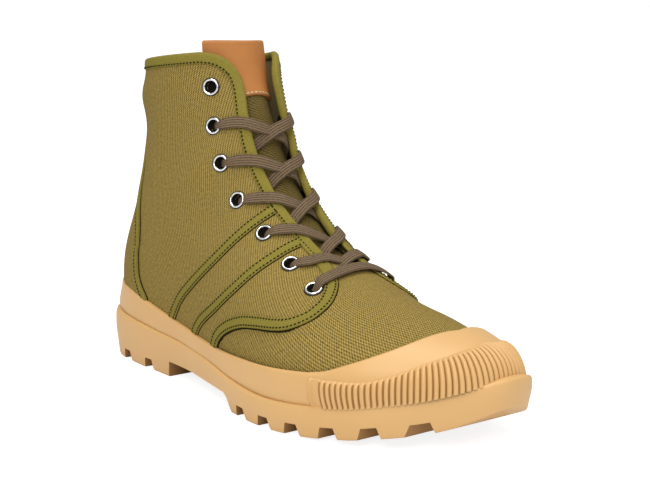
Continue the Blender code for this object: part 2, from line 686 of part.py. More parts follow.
def tape(name, places, width, side, material, steps=16):
    """Strip of cloth laid on the upper along a path, three points wide."""
    k, s = curve_places(places, steps)
    line = upper_point(k, s, side)
    tangents = np.gradient(line, axis=0)
    normals = upper_normal(k, s, side)
    rows = []
    for i in range(steps):
        across = np.cross(normals[i], tangents[i])
        across = across / np.linalg.norm(across) * 0.5 * width
        spots = [shifted(k[i], s[i], side, share * across) for share in (-1, 0, 1)]
        rows.append([skin(np.array(spot[0]), np.array(spot[1]), side, np.array(OVERLAY_LIFT)) for spot in spots])
    sheet(name, [(np.array(rows), False)], TAPE_THICKNESS, True, material)


def edge_path():
    """Places along the free edge of the upper: lateral throat, collar, medial throat."""
    climb = [float(k) for k in upper_rows() if BINDING_START <= k < COLLAR]
    path = []
    for side in (LATERAL, MEDIAL):
        half = [(k, float(throat_share(np.array(k), side)), side) for k in climb]
        corner = float(throat_share(np.array(float(COLLAR)), side))
        half += [(float(COLLAR), float(s), side) for s in np.linspace(corner, 1.0, 11)]
        path.append(half)
    return path[0] + path[1][-2::-1]


def build_binding():
    """Tape folded over the free edge of the collar and throat."""
    path = edge_path()
    line = np.array([upper_point(*place) for place in path])
    tangents = np.gradient(line, axis=0)
    gap, thick = OVERLAY_LIFT, BINDING_THICKNESS
    inside = -WALL - gap
    rings = []
    for place, tangent in zip(path, tangents):
        out = np.cross(tangent, upper_normal(*place))
        out = out / np.linalg.norm(out)
        outer = shifted(*place, -BINDING_WIDTH * out)
        inner = shifted(*place, -BINDING_INSIDE * out)
        spots = [(outer, gap, 0.0), (place, gap, gap), (place, inside, gap), (inner, inside, 0.0),
                 (inner, inside - thick, 0.0), (place, inside - thick, gap + thick),
                 (place, gap + thick, gap + thick), (outer, gap + thick, 0.0)]
        rings.append([skin(np.array(spot[0]), np.array(spot[1]), place[2], np.array(lift)) + out * beyond
                      for spot, lift, beyond in spots])
    loft("collar_binding", rings, "tape")


def build_tapes():
    for side in (LATERAL, MEDIAL):
        word = SIDE_NAMES[side]
        tape("quarter_tape_" + word, QUARTER_EDGE, TAPE_WIDTH, side, "tape", 20)
        tape("upper_band_" + word, UPPER_BAND, BAND_WIDTH, side, "tape", 10)
        tape("lower_band_" + word, LOWER_BAND, BAND_WIDTH, side, "tape", 10)


def build_backstay(columns=11):
    """Heel panel from the foxing up to the collar binding."""
    rows = []
    for level in BACKSTAY:
        half = []
        for side in (LATERAL, MEDIAL):
            edge = wall_place((level.edge_x, 0.0), (0.0, float(side)), level.z)
            edge_point = upper_point(*edge)
            start = math.atan2(edge_point[1], edge_point[0] - BACKSTAY_CENTRE[0])
            points = []
            for f in np.linspace(0, 1, columns):
                angle = start + f * (side * math.pi - start)
                ray = (math.cos(angle), math.sin(angle) if f < 1 else 0.0)
                rubber = upper_point(*wall_place(BACKSTAY_CENTRE, ray, level.z))[0]
                height = max(level.z, float(sole_height("foxing", rubber)) + 2 * GAP)
                point = skin(*wall_place(BACKSTAY_CENTRE, ray, height), BACKSTAY_LIFT)
                if f == 1:
                    point[1] = 0.0
                points.append(point)
            half.append(points)
        rows.append(half[0] + half[1][-2::-1])
    sheet("backstay", [(np.array(rows), False)], BACKSTAY_THICKNESS, True, "canvas")


def build_ankle_patch(rings=3, spokes=16):
    """Plain round leather disc on the medial ankle."""
    k, s, side = wall_place((PATCH_X, 0.0), (0.0, 1.0), PATCH_HEIGHT)
    along, _ = upper_slopes(np.array(k), np.array(s), side)
    normal = upper_normal(k, s, side)
    right = along / np.linalg.norm(along)
    up = np.cross(normal, right)
    rows = []
    for ring in range(rings + 1):
        radius = PATCH_RADIUS * ring / rings
        row = []
        for spoke in range(spokes + 1):
            angle = 2 * math.pi * spoke / spokes
            stride = radius / PATCH_STEPS * (math.cos(angle) * right + math.sin(angle) * up)
            spot = (k, s)
            for _ in range(PATCH_STEPS):
                spot = shifted(*spot, side, stride)
            row.append(skin(np.array(spot[0]), np.array(spot[1]), side, np.array(OVERLAY_LIFT)))
        rows.append(row)
    sheet("ankle_patch", [(np.array(rows), False)], PATCH_THICKNESS, True, "leather")


# Eyelets and lace

def eyelet_mesh():
    bm = bmesh.new()
    points = [bm.verts.new((point.radius * MM, 0.0, point.height * MM)) for point in EYELET_PROFILE]
    for start, end in zip(points, points[1:] + points[:1]):
        bm.edges.new((start, end))
    mesh = bpy.data.meshes.new("eyelet")
    bm.to_mesh(mesh)
    bm.free()
    return mesh


def build_eyelets():
    mesh = eyelet_mesh()
    for number, row in enumerate(EYELETS, 1):
        for side in (LATERAL, MEDIAL):
            place = eyelet_place(row, side)
            item = finish_object(f"eyelet_{SIDE_NAMES[side]}_{number}", mesh, "eyelet_metal")
            item.location = Vector(upper_point(*place)) * MM
            item.rotation_euler = Vector(upper_normal(*place)).to_track_quat("Z", "Y").to_euler()
            turn = item.modifiers.new("turned", "SCREW")
            turn.steps = turn.render_steps = EYELET_SEGMENTS
            turn.use_merge_vertices = True
            turn.merge_threshold = 0.0001
            turn.use_normal_calculate = True
            turn.use_normal_flip = True


def strip_rings(points, normals):
    """Flat lace section swept along points, with its face along the normals."""
    points, normals = np.array(points), np.array(normals)
    tangents = np.gradient(points, axis=0)
    rings = []
    for point, normal, tangent in zip(points, normals, tangents):
        across = np.cross(normal, tangent)
        across = across / np.linalg.norm(across) * 0.5 * LACE_WIDTH
        face = np.cross(tangent, across)
        face = face / np.linalg.norm(face) * 0.5 * LACE_THICKNESS
        rings.append([point - across - face, point + across - face, point + across + face,
                      point - across + face])
    return rings


def lace_strip(name, row, after, start_side, rise, group):
    """One strip of a crossing, from the eyelet of its row down towards the next on the other side."""
    points, normals = [], []
    for step in LACE_UNDER:
        k = row.section + (after.section - row.section) * step.down
        side = start_side if step.across < 0 else -start_side
        s = float(share_at_half(np.array(k), abs(step.across), side))
        lift = step.lift + rise * math.exp(-(step.across / 6.0) ** 2)
        points.append(skin(np.array(k), np.array(s), side, np.array(lift)))
        normals.append(upper_normal(np.array(k), np.array(s), side))
    return loft(name, strip_rings(points, normals), "lace", group)


def build_lace():
    for number in range(1, len(EYELETS) - 1):
        row, after = EYELETS[number], EYELETS[number + 1]
        name = f"lace_crossing_{number}"
        under = lace_strip(name, row, after, LATERAL, 0.0, BOOT)
        over = lace_strip(name + "_over", row, after, MEDIAL, LACE_OVER_RISE, CUTTERS)
        cut_with(under, over, "UNION")
    last = EYELETS[-1]
    points, normals = [], []
    for y in np.linspace(-LACE_START, LACE_START, 7):
        side = LATERAL if y < 0 else MEDIAL
        s = float(share_at_half(np.array(last.section), abs(y), side))
        points.append(skin(np.array(last.section), np.array(s), side, np.array(LACE_BAR_LIFT)))
        normals.append(upper_normal(np.array(last.section), np.array(s), side))
    loft("lace_bar", strip_rings(points, normals), "lace")


build_outsole()
build_insole()
build_upper()
build_foxing()
build_toe_cap()
build_toe_bumper()
build_tongue()
build_tongue_tab()
build_binding()
build_tapes()
build_backstay()
build_ankle_patch()
build_eyelets()
build_lace()
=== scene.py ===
"""Looks of the canvas ankle boot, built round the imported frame.

Tables and sizes are in millimetres in the boot's own frame: x from the back of the heel (0) to the toe (300),
y positive on the medial side, z up from the floor. Cloth.make() moves points into the frame's metres.
"""
import math
from collections import namedtuple

import bmesh
import bpy
import numpy as np
from mathutils import Euler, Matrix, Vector

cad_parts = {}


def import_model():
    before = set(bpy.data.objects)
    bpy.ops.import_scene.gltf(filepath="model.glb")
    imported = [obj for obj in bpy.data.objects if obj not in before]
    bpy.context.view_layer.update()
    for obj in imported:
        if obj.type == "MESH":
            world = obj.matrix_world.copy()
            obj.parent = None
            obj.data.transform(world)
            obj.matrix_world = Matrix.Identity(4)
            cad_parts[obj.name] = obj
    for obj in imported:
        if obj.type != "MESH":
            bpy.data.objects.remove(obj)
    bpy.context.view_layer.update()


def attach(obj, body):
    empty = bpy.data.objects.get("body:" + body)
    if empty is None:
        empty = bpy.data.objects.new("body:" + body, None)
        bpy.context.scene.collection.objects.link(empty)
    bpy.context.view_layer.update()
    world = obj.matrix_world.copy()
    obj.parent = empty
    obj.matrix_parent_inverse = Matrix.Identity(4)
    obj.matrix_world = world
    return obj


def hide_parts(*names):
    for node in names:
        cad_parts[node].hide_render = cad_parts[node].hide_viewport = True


def make_table(kind, values):
    """Table of one kind of row, with named columns."""
    return [kind(*row) for row in values]


MM = 0.001
SHIFT = np.array([-0.150, 0.0015, 0.0])
LATERAL, BOTH, MEDIAL = -1, 0, 1
SIDES = (LATERAL, MEDIAL)
SIDE_NAMES = {LATERAL: "lateral", MEDIAL: "medial"}
SOLE_LENGTH = 300.0
WALL = 2.0

# Sections of the upper, from the toe tip to the collar: ridge, base, and half widths on both sides.
Section = namedtuple("Section", "ridge_x ridge_z base_x base_z centre lateral medial "
                                "lateral_base medial_base ridge_full base_full")
SECTIONS = make_table(Section, [
    (292.0, 35.0, 292.0, 30.2, 13.0, 13.0, 13.0, 13.0, 13.0, 2.00, 2.00),
    (289.5, 41.5, 290.0, 29.5, 13.0, -1.0, 27.0, -1.0, 27.0, 2.00, 2.10),
    (282.3, 47.0, 282.3, 27.5, 12.0, -14.0, 36.0, -13.5, 36.0, 1.95, 2.20),
    (269.0, 52.0, 268.0, 24.2, 10.0, -27.5, 43.5, -26.5, 43.0, 1.85, 2.20),
    (251.0, 57.5, 249.0, 20.9, 7.0, -40.5, 47.0, -39.0, 46.5, 1.80, 2.20),
    (229.0, 64.0, 224.0, 18.2, 4.0, -49.0, 47.0, -47.5, 46.5, 1.75, 2.20),
    (207.0, 72.0, 196.0, 16.9, 2.5, -52.0, 44.5, -51.0, 43.5, 1.80, 2.20),
    (186.0, 81.5, 165.0, 18.7, 2.0, -49.0, 41.0, -48.0, 37.5, 1.90, 2.15),
    (168.0, 93.5, 132.0, 21.6, 1.5, -44.0, 37.5, -41.5, 32.5, 2.00, 2.10),
    (154.0, 107.0, 98.0, 23.8, 1.0, -39.5, 36.0, -36.3, 31.5, 2.00, 2.10),
    (145.0, 120.0, 66.0, 25.8, 0.5, -37.0, 36.0, -35.0, 32.5, 2.00, 2.15),
    (139.0, 131.0, 38.0, 27.5, 0.0, -36.5, 36.0, -32.5, 31.5, 2.00, 2.25),
    (135.0, 140.0, 17.0, 28.6, 0.0, -36.0, 36.0, -24.5, 24.5, 2.00, 2.35),
    (133.0, 144.0, 8.5, 29.3, 0.0, -35.8, 35.8, -14.0, 14.0, 2.00, 2.40),
    (131.5, 147.5, 5.0, 30.0, 0.0, -35.5, 35.5, 0.0, 0.0, 2.00, 2.40),
    (128.5, 153.0, 4.5, 46.0, 0.0, -34.0, 34.5, 0.0, 0.0, 2.00, 2.25),
    (125.5, 159.0, 15.5, 74.0, 0.0, -33.0, 33.5, 0.0, 0.0, 2.00, 2.00),
    (122.0, 166.0, 25.5, 106.0, 0.0, -32.7, 33.2, 0.0, 0.0, 2.00, 2.00),
    (119.0, 174.0, 29.0, 142.0, 0.0, -33.0, 33.5, 0.0, 0.0, 2.00, 2.00),
    (117.0, 182.5, 32.0, 174.5, 0.0, -33.0, 33.0, 0.0, 0.0, 2.00, 2.00),
])
COLLAR = len(SECTIONS) - 1
HEEL_SECTION = 14

# Half width of the throat slot at a section.
HalfRow = namedtuple("HalfRow", "section half")
THROAT = make_table(HalfRow, [
    (6.3, 0.0), (6.45, 6.5), (6.75, 8.6), (7.5, 9.2), (9.0, 11.5), (12.0, 12.4), (15.0, 11.5), (17.0, 10.3),
    (17.6, 11.0), (18.0, 12.2), (18.4, 14.6), (18.7, 17.6), (18.9, 21.0), (19.0, 25.5),
])

# Outline of the sole seen from above, once round from the heel's back along the lateral side.
OutlineRow = namedtuple("OutlineRow", "x y")
OUTLINE = make_table(OutlineRow, [
    (0, 0), (8, -22), (25, -35), (50, -39), (80, -40), (110, -42), (140, -48), (165, -53), (190, -56),
    (215, -54), (240, -47), (262, -36), (282, -18), (295, 0), (300, 14), (296, 32), (283, 43), (262, 50),
    (235, 53), (210, 51), (180, 45), (150, 39), (120, 36), (90, 36), (60, 37.5), (30, 35), (9, 23),
])
TOE_POINT = 14

# Heights along the sole: tread line, top edge of the outsole, top of the foxing.
HeightRow = namedtuple("HeightRow", "x ground lip foxing")
HEIGHTS = make_table(HeightRow, [
    (0, 0, 28.7, 45.2), (40, 0, 26.9, 43.0), (80, 0, 24.2, 36.0), (110, 0, 22.5, 31.6),
    (140, 0, 20.5, 29.2), (170, 0, 17.4, 29.7), (200, 0, 16.0, 31.3), (230, 1.5, 18.0, 33.9),
    (260, 5.5, 23.0, 37.0), (290, 13.8, 31.2, 42.0), (305, 24.0, 38.2, 46.0),
])

# Tread: grooves across the sole by their rear edge, the last one on the lateral side only.
GrooveRow = namedtuple("GrooveRow", "rear side")
GROOVES = make_table(GrooveRow, [
    (34.0, BOTH), (60.0, BOTH), (172.0, BOTH), (193.0, BOTH), (212.5, BOTH), (233.0, BOTH), (253.0, BOTH),
    (272.0, LATERAL),
])
GROOVE_WIDTH, GROOVE_DEPTH, GROOVE_DRAFT = 10.4, 6.2, 1.8
TREAD_END = 282.5
HEEL_ROUND_X = (0.0, 0.6, 2.2, 7.0)
HEEL_ROUND_RISE = (4.6, 4.2, 2.0, 0.0)
ARCH_X = (86.8, 89.6, 160.0, 163.0, 166.0)
ARCH_RISE = (0.0, 9.5, 9.5, 7.5, 0.0)
# Side of the outsole from its lower edge to its top: inset from the outline and share of the height.
SoleRow = namedtuple("SoleRow", "inset share")
SOLE_SIDE = make_table(SoleRow, [
    (2.6, 0.0), (2.05, 0.015), (1.8, 0.05), (1.3, 0.20), (0.8, 0.35), (0.3, 0.50), (0.0, 0.64), (0.0, 0.86),
    (0.2, 0.93), (0.7, 0.98), (1.5, 1.0), (6.0, 1.0),
])

# Rubber round the foot
PARTING_X, FOXING_TUCK = 227.7, 5.0
FOXING_LIFT_TOP, FOXING_LIFT_BOTTOM = 2.0, 3.6
CAP_LIFT, CAP_ROUND = 2.3, 2.2
TOE_CENTRE = (245.0, 4.0)
HEEL_CENTRE = (42.0, 0.0)
BUMPER_SWEEP, BUMPER_MIDDLE = 109.0, 1.3
RIB_COUNT = 62
# Ribs: lift of valleys and peaks, phase past which a valley gets painted shade, level that spaces them,
# points in each.
RIB_VALLEY, RIB_PEAK, RIB_SHADE_EDGE, RIB_LEVEL, RIB_POINTS = 2.8, 4.7, 0.8, 34.0, 10
BUMPER_LEAN = 12.0
BumperRow = namedtuple("BumperRow", "angle top")
BUMPER_TOP = make_table(BumperRow, [
    (0, 48.0), (25, 45.5), (45, 42.5), (60, 39.5), (75, 36.0), (90, 33.2), (110, 32.0),
])
CapRow = namedtuple("CapRow", "section share")
CAP_EDGE = make_table(CapRow, [
    (3.10, 0.0), (3.22, 0.15), (3.34, 0.29), (3.52, 0.42), (3.76, 0.525), (4.04, 0.615), (4.30, 0.68),
    (4.60, 0.745), (4.95, 0.785),
])

# Cloth laid on the upper: a place is a section number and the share of the way from ridge to base.
Place = namedtuple("Place", "section share")
QUARTER_EDGE = make_table(Place, [
    (5.91, 0.150), (5.91, 0.170), (5.74, 0.212), (5.51, 0.291), (5.44, 0.365), (5.45, 0.437), (5.53, 0.499),
    (5.77, 0.563), (6.10, 0.615), (6.64, 0.677), (7.07, 0.727), (7.46, 0.792), (7.69, 0.856), (7.70, 0.902),
    (7.70, 1.0),
])
QUARTER_TAPE = make_table(Place, [
    (7.60, 0.138), (7.00, 0.142), (6.60, 0.160), (6.30, 0.185), (6.00, 0.230), (5.74, 0.315), (5.68, 0.40),
    (5.74, 0.47), (5.97, 0.55), (6.30, 0.605), (6.80, 0.662), (7.22, 0.712), (7.60, 0.785), (7.82, 0.86),
    (7.84, 0.95),
])
UPPER_BAND = make_table(Place, [
    (8.86, 0.175), (8.86, 0.245), (8.88, 0.33), (8.94, 0.44), (9.06, 0.57), (9.28, 0.70), (9.48, 0.81),
    (9.50, 0.875), (9.48, 0.94),
])
LOWER_BAND = make_table(Place, [
    (7.60, 0.165), (7.63, 0.25), (7.67, 0.35), (7.78, 0.47), (7.94, 0.60), (8.22, 0.74), (8.48, 0.83),
    (8.58, 0.89), (8.60, 0.95),
])
# Hollows and swells of the cloth: where, their reach in sections and shares, their turn and their height.
SlackRow = namedtuple("SlackRow", "section share along down turn side height")
SLACK = make_table(SlackRow, [
    (17.2, 0.80, 0.9, 0.16, 0, BOTH, -0.8), (15.6, 0.72, 0.8, 0.14, 10, LATERAL, 0.7),
    (16.4, 0.45, 1.0, 0.10, -20, LATERAL, -0.6), (13.5, 0.55, 1.6, 0.10, 20, BOTH, -0.7),
    (11.0, 0.62, 1.0, 0.08, 30, LATERAL, 0.6), (10.2, 0.50, 0.8, 0.07, 25, BOTH, -0.6),
    (6.9, 0.47, 0.5, 0.10, -30, LATERAL, 0.5), (5.0, 0.50, 0.35, 0.16, 0, BOTH, -0.5),
    (5.4, 0.10, 0.25, 0.20, 0, BOTH, -0.5), (4.4, 0.35, 0.4, 0.16, 0, BOTH, 0.4),
    (17.5, 0.10, 3.0, 0.13, 0, MEDIAL, 3.4), (11.5, 0.12, 3.0, 0.12, 0, MEDIAL, 2.4),
    (18.35, 0.74, 0.30, 0.24, 0, LATERAL, 2.2), (17.75, 0.76, 0.35, 0.20, 0, LATERAL, -1.2),
])
# Shares from the ridge and from the back over which the slack of one side comes in.
SLACK_FADE, SLACK_BACK_FADE = 0.08, 0.2
# Vamp: its drop under the quarters' edge and the sections over which it drops.
VAMP_DROP, VAMP_STEP = 0.8, 0.05
TAPE_WIDTH, BAND_WIDTH = 6.6, 6.0
TAPE_LIFT = 0.85
TAPE_STITCHES = (-2.1, 2.1)
# Painted shadow under a strip's lower edge, a near-black sheet where the edge stands over the canvas:
# distance past the edge and height over the upper.
SEAM_SHADOW_SHAPE = [(-0.6, 0.3), (0.1, 0.3), (0.4, 0.15), (0.6, -0.3), (0.7, -1.0)]
BINDING_START = 6.7
BackstayRow = namedtuple("BackstayRow", "z edge_x")
BACKSTAY = make_table(BackstayRow, [
    (40.5, 61), (51, 52), (60, 50.5), (82, 50), (96, 47), (108, 42.5), (122, 39), (140, 38), (156, 38.5),
    (172, 40),
])
BACKSTAY_LIFT = 1.2
PATCH_RADIUS, PATCH_HEIGHT, PATCH_X = 18.5, 129.0, 64.0
PATCH_LIFT = 1.7

# Tongue and tab
TONGUE_START, TONGUE_RISE, TONGUE_LEAN = 5.7, 6.2, -5.0
TONGUE_DROP, TONGUE_TAB_DROP, TONGUE_THICKNESS = 4.0, 5.6, 2.5
# Half width of the tongue at a section.
TONGUE_HALF = make_table(HalfRow, [(5.7, 13.0), (7.0, 18.0), (12.0, 22.0), (16.0, 21.5), (19.0, 20.0)])
TAB_HALF, TAB_START, TAB_BACK_END, TAB_THICKNESS = 20.5, 16.4, 18.2, 1.2

# Eyelets and lace
# Eyelets by their section and their distance to the side of the ridge, from the top down.
EYELETS = make_table(HalfRow, [
    (17.50, 22.5), (15.50, 23.0), (11.80, 24.0), (9.95, 23.5), (8.40, 24.0), (7.20, 24.5), (6.22, 26.0),
])
# Section of an eyelet: rim darkened as painted shadow round its foot, bright roll, and barrel darkened as
# painted shade down the hole.
EyeletPoint = namedtuple("EyeletPoint", "radius height")
EYELET_RIM = make_table(EyeletPoint, [(5.05, -0.1), (5.05, 0.2), (4.9, 0.5), (4.6, 0.72), (4.4, 0.80)])
EYELET_ROLL = make_table(EyeletPoint, [(4.4, 0.80), (4.2, 1.0), (3.95, 1.1), (3.65, 1.0), (3.45, 0.78)])
EYELET_BARREL = make_table(EyeletPoint, [
    (3.45, 0.78), (3.2, 0.35), (3.05, -0.4), (2.95, -2.8), (0.1, -2.9),
])
EYELET_HOLE = 3.9
LACE_WIDTH, LACE_THICKNESS = 6.5, 1.3
# Route of a lace strip from its eyelet over the near edge and under the far one: distance across the throat
# from its middle (near side negative), height over the upper, climb from the eyelet where the rows are
# LACE_ROW_DROP apart, share of the sections to the next eyelet (for the lowest crossing), width share.
LaceRow = namedtuple("LaceRow", "across lift climb down wide")
LACE_ROUTE = make_table(LaceRow, [
    (-25.0, -2.4, 0.0, 0.00, 0.66), (-23.8, -0.2, 0.2, 0.05, 0.70), (-22.0, 1.5, 0.7, 0.14, 0.84),
    (-19.0, 2.0, 1.4, 0.24, 0.97), (-15.5, 2.1, 1.7, 0.31, 1.0), (-12.0, 2.5, 1.3, 0.36, 1.0),
    (-9.0, 2.3, 0.2, 0.42, 1.0), (-5.0, 0.9, -1.1, 0.50, 1.0), (-1.0, -0.4, -2.0, 0.58, 1.0),
    (3.5, -1.5, -3.9, 0.64, 1.0), (7.5, -2.6, -6.0, 0.68, 1.0), (11.0, -3.6, -8.3, 0.72, 1.0),
    (15.0, -4.0, -11.0, 0.76, 0.95),
])
LACE_ROW_DROP = 18.0
LACE_OVER_RISE = 2.0
LACE_BAR_LIFT = 2.5


# Curves through a table

def smooth(where, places, values):
    """Cubic curve through a table with slopes taken from the neighbours."""
    places = np.asarray(places, float)
    values = np.asarray(values, float)
    slopes = np.gradient(values, places)
    where = np.clip(np.asarray(where, float), places[0], places[-1])
    i = np.clip(np.searchsorted(places, where, side="right") - 1, 0, len(places) - 2)
    span = places[i + 1] - places[i]
    f = (where - places[i]) / span
    return ((1 + 2 * f) * (1 - f) ** 2 * values[i] + f * (1 - f) ** 2 * span * slopes[i]
            + f ** 2 * (3 - 2 * f) * values[i + 1] + f ** 2 * (f - 1) * span * slopes[i + 1])


def passing(before, start, end, after, f):
    """Curve from start to end that takes its slopes from the points before and after them."""
    square = 2 * before - 5 * start + 4 * end - after
    cubic = 3 * start - before - 3 * end + after
    return start + 0.5 * f * (end - before + f * (square + f * cubic))


def column(table, name):
    return np.array([getattr(row, name) for row in table], float)


def read_table(table, key, name, where):
    return smooth(where, column(table, key), column(table, name))


def sole_height(name, x):
    return read_table(HEIGHTS, "x", name, x)


def ease(value):
    value = np.clip(value, 0, 1)
    return value * value * (3 - 2 * value)


def unit(vectors):
    return vectors / np.maximum(np.linalg.norm(vectors, axis=-1, keepdims=True), 1e-9)


def full_turn(count):
    return np.linspace(0, 2 * math.pi, count, endpoint=False)


def path_lengths(points):
    """Length along a path up to each of its points."""
    return np.concatenate([[0], np.cumsum(np.linalg.norm(np.diff(points, axis=0), axis=-1))])


def along_path(where, lengths, values):
    return np.stack([np.interp(where, lengths, values[:, i]) for i in range(3)], -1)


# Outer face of the upper

SECTION_COLUMNS = np.array(SECTIONS, float)


def section_at(k):
    """All columns of the section table at a section number with a fraction."""
    k = np.clip(np.asarray(k, float), 0, COLLAR)
    i = np.minimum(k.astype(int), COLLAR - 1)
    start, end = SECTION_COLUMNS[i], SECTION_COLUMNS[i + 1]
    before = np.where((i > 0)[..., None], SECTION_COLUMNS[np.maximum(i - 1, 0)], 2 * start - end)
    after = np.where((i < COLLAR - 1)[..., None], SECTION_COLUMNS[np.minimum(i + 2, COLLAR)], 2 * end - start)
    values = passing(before, start, end, after, (k - i)[..., None])
    row = Section(*np.moveaxis(values, -1, 0))
    closed = k >= HEEL_SECTION
    return row._replace(lateral_base=np.where(closed, row.centre, row.lateral_base),
                        medial_base=np.where(closed, row.centre, row.medial_base))


def signed_power(value, power):
    return np.sign(value) * np.abs(value) ** power


def section_widths(row, side):
    widest = row.lateral if side == LATERAL else row.medial
    base = row.lateral_base if side == LATERAL else row.medial_base
    wide = np.abs(widest - row.centre)
    foot = np.minimum(np.abs(base - row.centre), wide)
    return wide, foot


def end_angle(row, wide, foot):
    ratio = foot / np.maximum(wide, 1e-6)
    return math.pi - np.arcsin(np.clip(ratio, 0, 1) ** (0.5 * row.base_full))


def upper_point(k, s, side):
    """Point of the upper's outer face: section k, share s from ridge (0) to base (1)."""
    k, s = np.broadcast_arrays(np.asarray(k, float), np.asarray(s, float))
    row = section_at(k)
    wide, foot = section_widths(row, side)
    end = end_angle(row, wide, foot)
    power = 2.0 / (row.ridge_full + (row.base_full - row.ridge_full) * s)
    depth = 1 - signed_power(np.cos(s * end), power)
    depth = depth / (1 - signed_power(np.cos(end), 2.0 / row.base_full))
    y = row.centre + side * wide * np.abs(np.sin(s * end)) ** power
    x = row.ridge_x + (row.base_x - row.ridge_x) * depth
    z = row.ridge_z + (row.base_z - row.ridge_z) * depth
    return np.stack([x, y, z], -1)


def upper_slopes(k, s, side, step=0.002):
    """Change of the outer face's point with section and with share."""
    k, s = np.broadcast_arrays(np.asarray(k, float), np.asarray(s, float))
    k_low, k_high = np.maximum(k - step, 0), np.minimum(k + step, COLLAR)
    s_low, s_high = np.maximum(s - step, 0), np.minimum(s + step, 1)
    along = upper_point(k_high, s, side) - upper_point(k_low, s, side)
    down = upper_point(k, s_high, side) - upper_point(k, s_low, side)
    return along / (k_high - k_low)[..., None], down / (s_high - s_low)[..., None]


def upper_normal(k, s, side):
    along, down = upper_slopes(k, s, side)
    return unit(-side * np.cross(along, down))


def slack(k, s, side):
    """Soft hollows and swells of the cloth, placed one by one."""
    height = 0.0
    one_sided = ease(s / SLACK_FADE) * ease((1 - s) / SLACK_BACK_FADE)
    for row in SLACK:
        if row.side in (side, BOTH):
            along, down = (k - row.section) / row.along, (s - row.share) / row.down
            turn = math.radians(row.turn)
            long = along * math.cos(turn) + down * math.sin(turn)
            short = down * math.cos(turn) - along * math.sin(turn)
            fade = 1.0 if row.side == BOTH else one_sided
            height = height + row.height * fade * np.exp(-long ** 2 - short ** 2)
    return height


def skin(k, s, side, lift):
    """Point at a height over the upper's outer face, with the slack of the cloth."""
    height = np.asarray(lift, float) + slack(k, s, side)
    return upper_point(k, s, side) + upper_normal(k, s, side) * height[..., None]


def smooth_skin(k, s, side, lift):
    """Point at a height over the upper's outer face without the slack."""
    return upper_point(k, s, side) + upper_normal(k, s, side) * lift


def share_at_half(k, half, side):
    """Share at which a section lies a given distance to the side of its ridge."""
    row = section_at(k)
    wide, foot = section_widths(row, side)
    angle = np.arcsin(np.clip(half / np.maximum(wide, 1e-6), 0, 1) ** (0.5 * row.ridge_full))
    return angle / end_angle(row, wide, foot)


def throat_share(k, side):
    half = np.interp(k, column(THROAT, "section"), column(THROAT, "half"))
    return share_at_half(k, half, side)


def eyelet_place(row, side):
    k = np.array(row.section)
    return k, share_at_half(k, row.half, side)


def walk(k, s, side, step, pieces=3):
    """Sections and shares reached by walking steps over the outer face."""
    k, s = np.array(k, float), np.array(s, float)
    part = np.asarray(step) / pieces
    for _ in range(pieces):
        along, down = upper_slopes(k, s, side)
        aa, ad, dd = (along * along).sum(-1), (along * down).sum(-1), (down * down).sum(-1)
        av, dv = (along * part).sum(-1), (down * part).sum(-1)
        size = np.maximum(aa * dd - ad * ad, 1e-9)
        k = np.clip(k + (av * dd - dv * ad) / size, 0, COLLAR)
        s = np.clip(s + (dv * aa - av * ad) / size, 0, 1)
    return k, s


LEVEL_SECTION_STEPS, LEVEL_SHARE_STEPS, LEVEL_SAMPLES = 40, 60, 160


def level_curve(z, side, samples=LEVEL_SAMPLES):
    """Sections and shares of the outer face at a height, from the front to the back of the heel."""
    dense = np.linspace(0, COLLAR, LEVEL_SECTION_STEPS * COLLAR + 1)
    heel = dense[dense >= HEEL_SECTION]
    front = np.interp(z, section_at(dense).ridge_z, dense)
    back = np.interp(z, section_at(heel).base_z, heel)
    k = np.linspace(front, back, samples)
    shares = np.linspace(0, 1, LEVEL_SHARE_STEPS)
    heights = upper_point(k[:, None], shares[None, :], side)[..., 2]
    s = np.array([np.interp(-z, -row, shares) for row in heights])
    s[-1] = 1.0
    return k, s


def level_plan(z, samples=LEVEL_SAMPLES):
    """Plan points of the level curve on each side."""
    return {side: upper_point(*level_curve(z, side, samples), side)[:, :2] for side in SIDES}


def row_to_heel(z, x, side, columns, samples=LEVEL_SAMPLES):
    """Places at a height, from a distance along the boot to the back of the heel."""
    k, s = level_curve(z, side, samples)
    index = np.arange(samples)
    start = np.interp(-x, -upper_point(k, s, side)[:, 0], index)
    pick = np.linspace(start, index[-1], columns)
    return np.interp(pick, index, k), np.interp(pick, index, s)


# Meshes

WELD_REACH, DEGENERATE_REACH = 1e-6, 1e-7


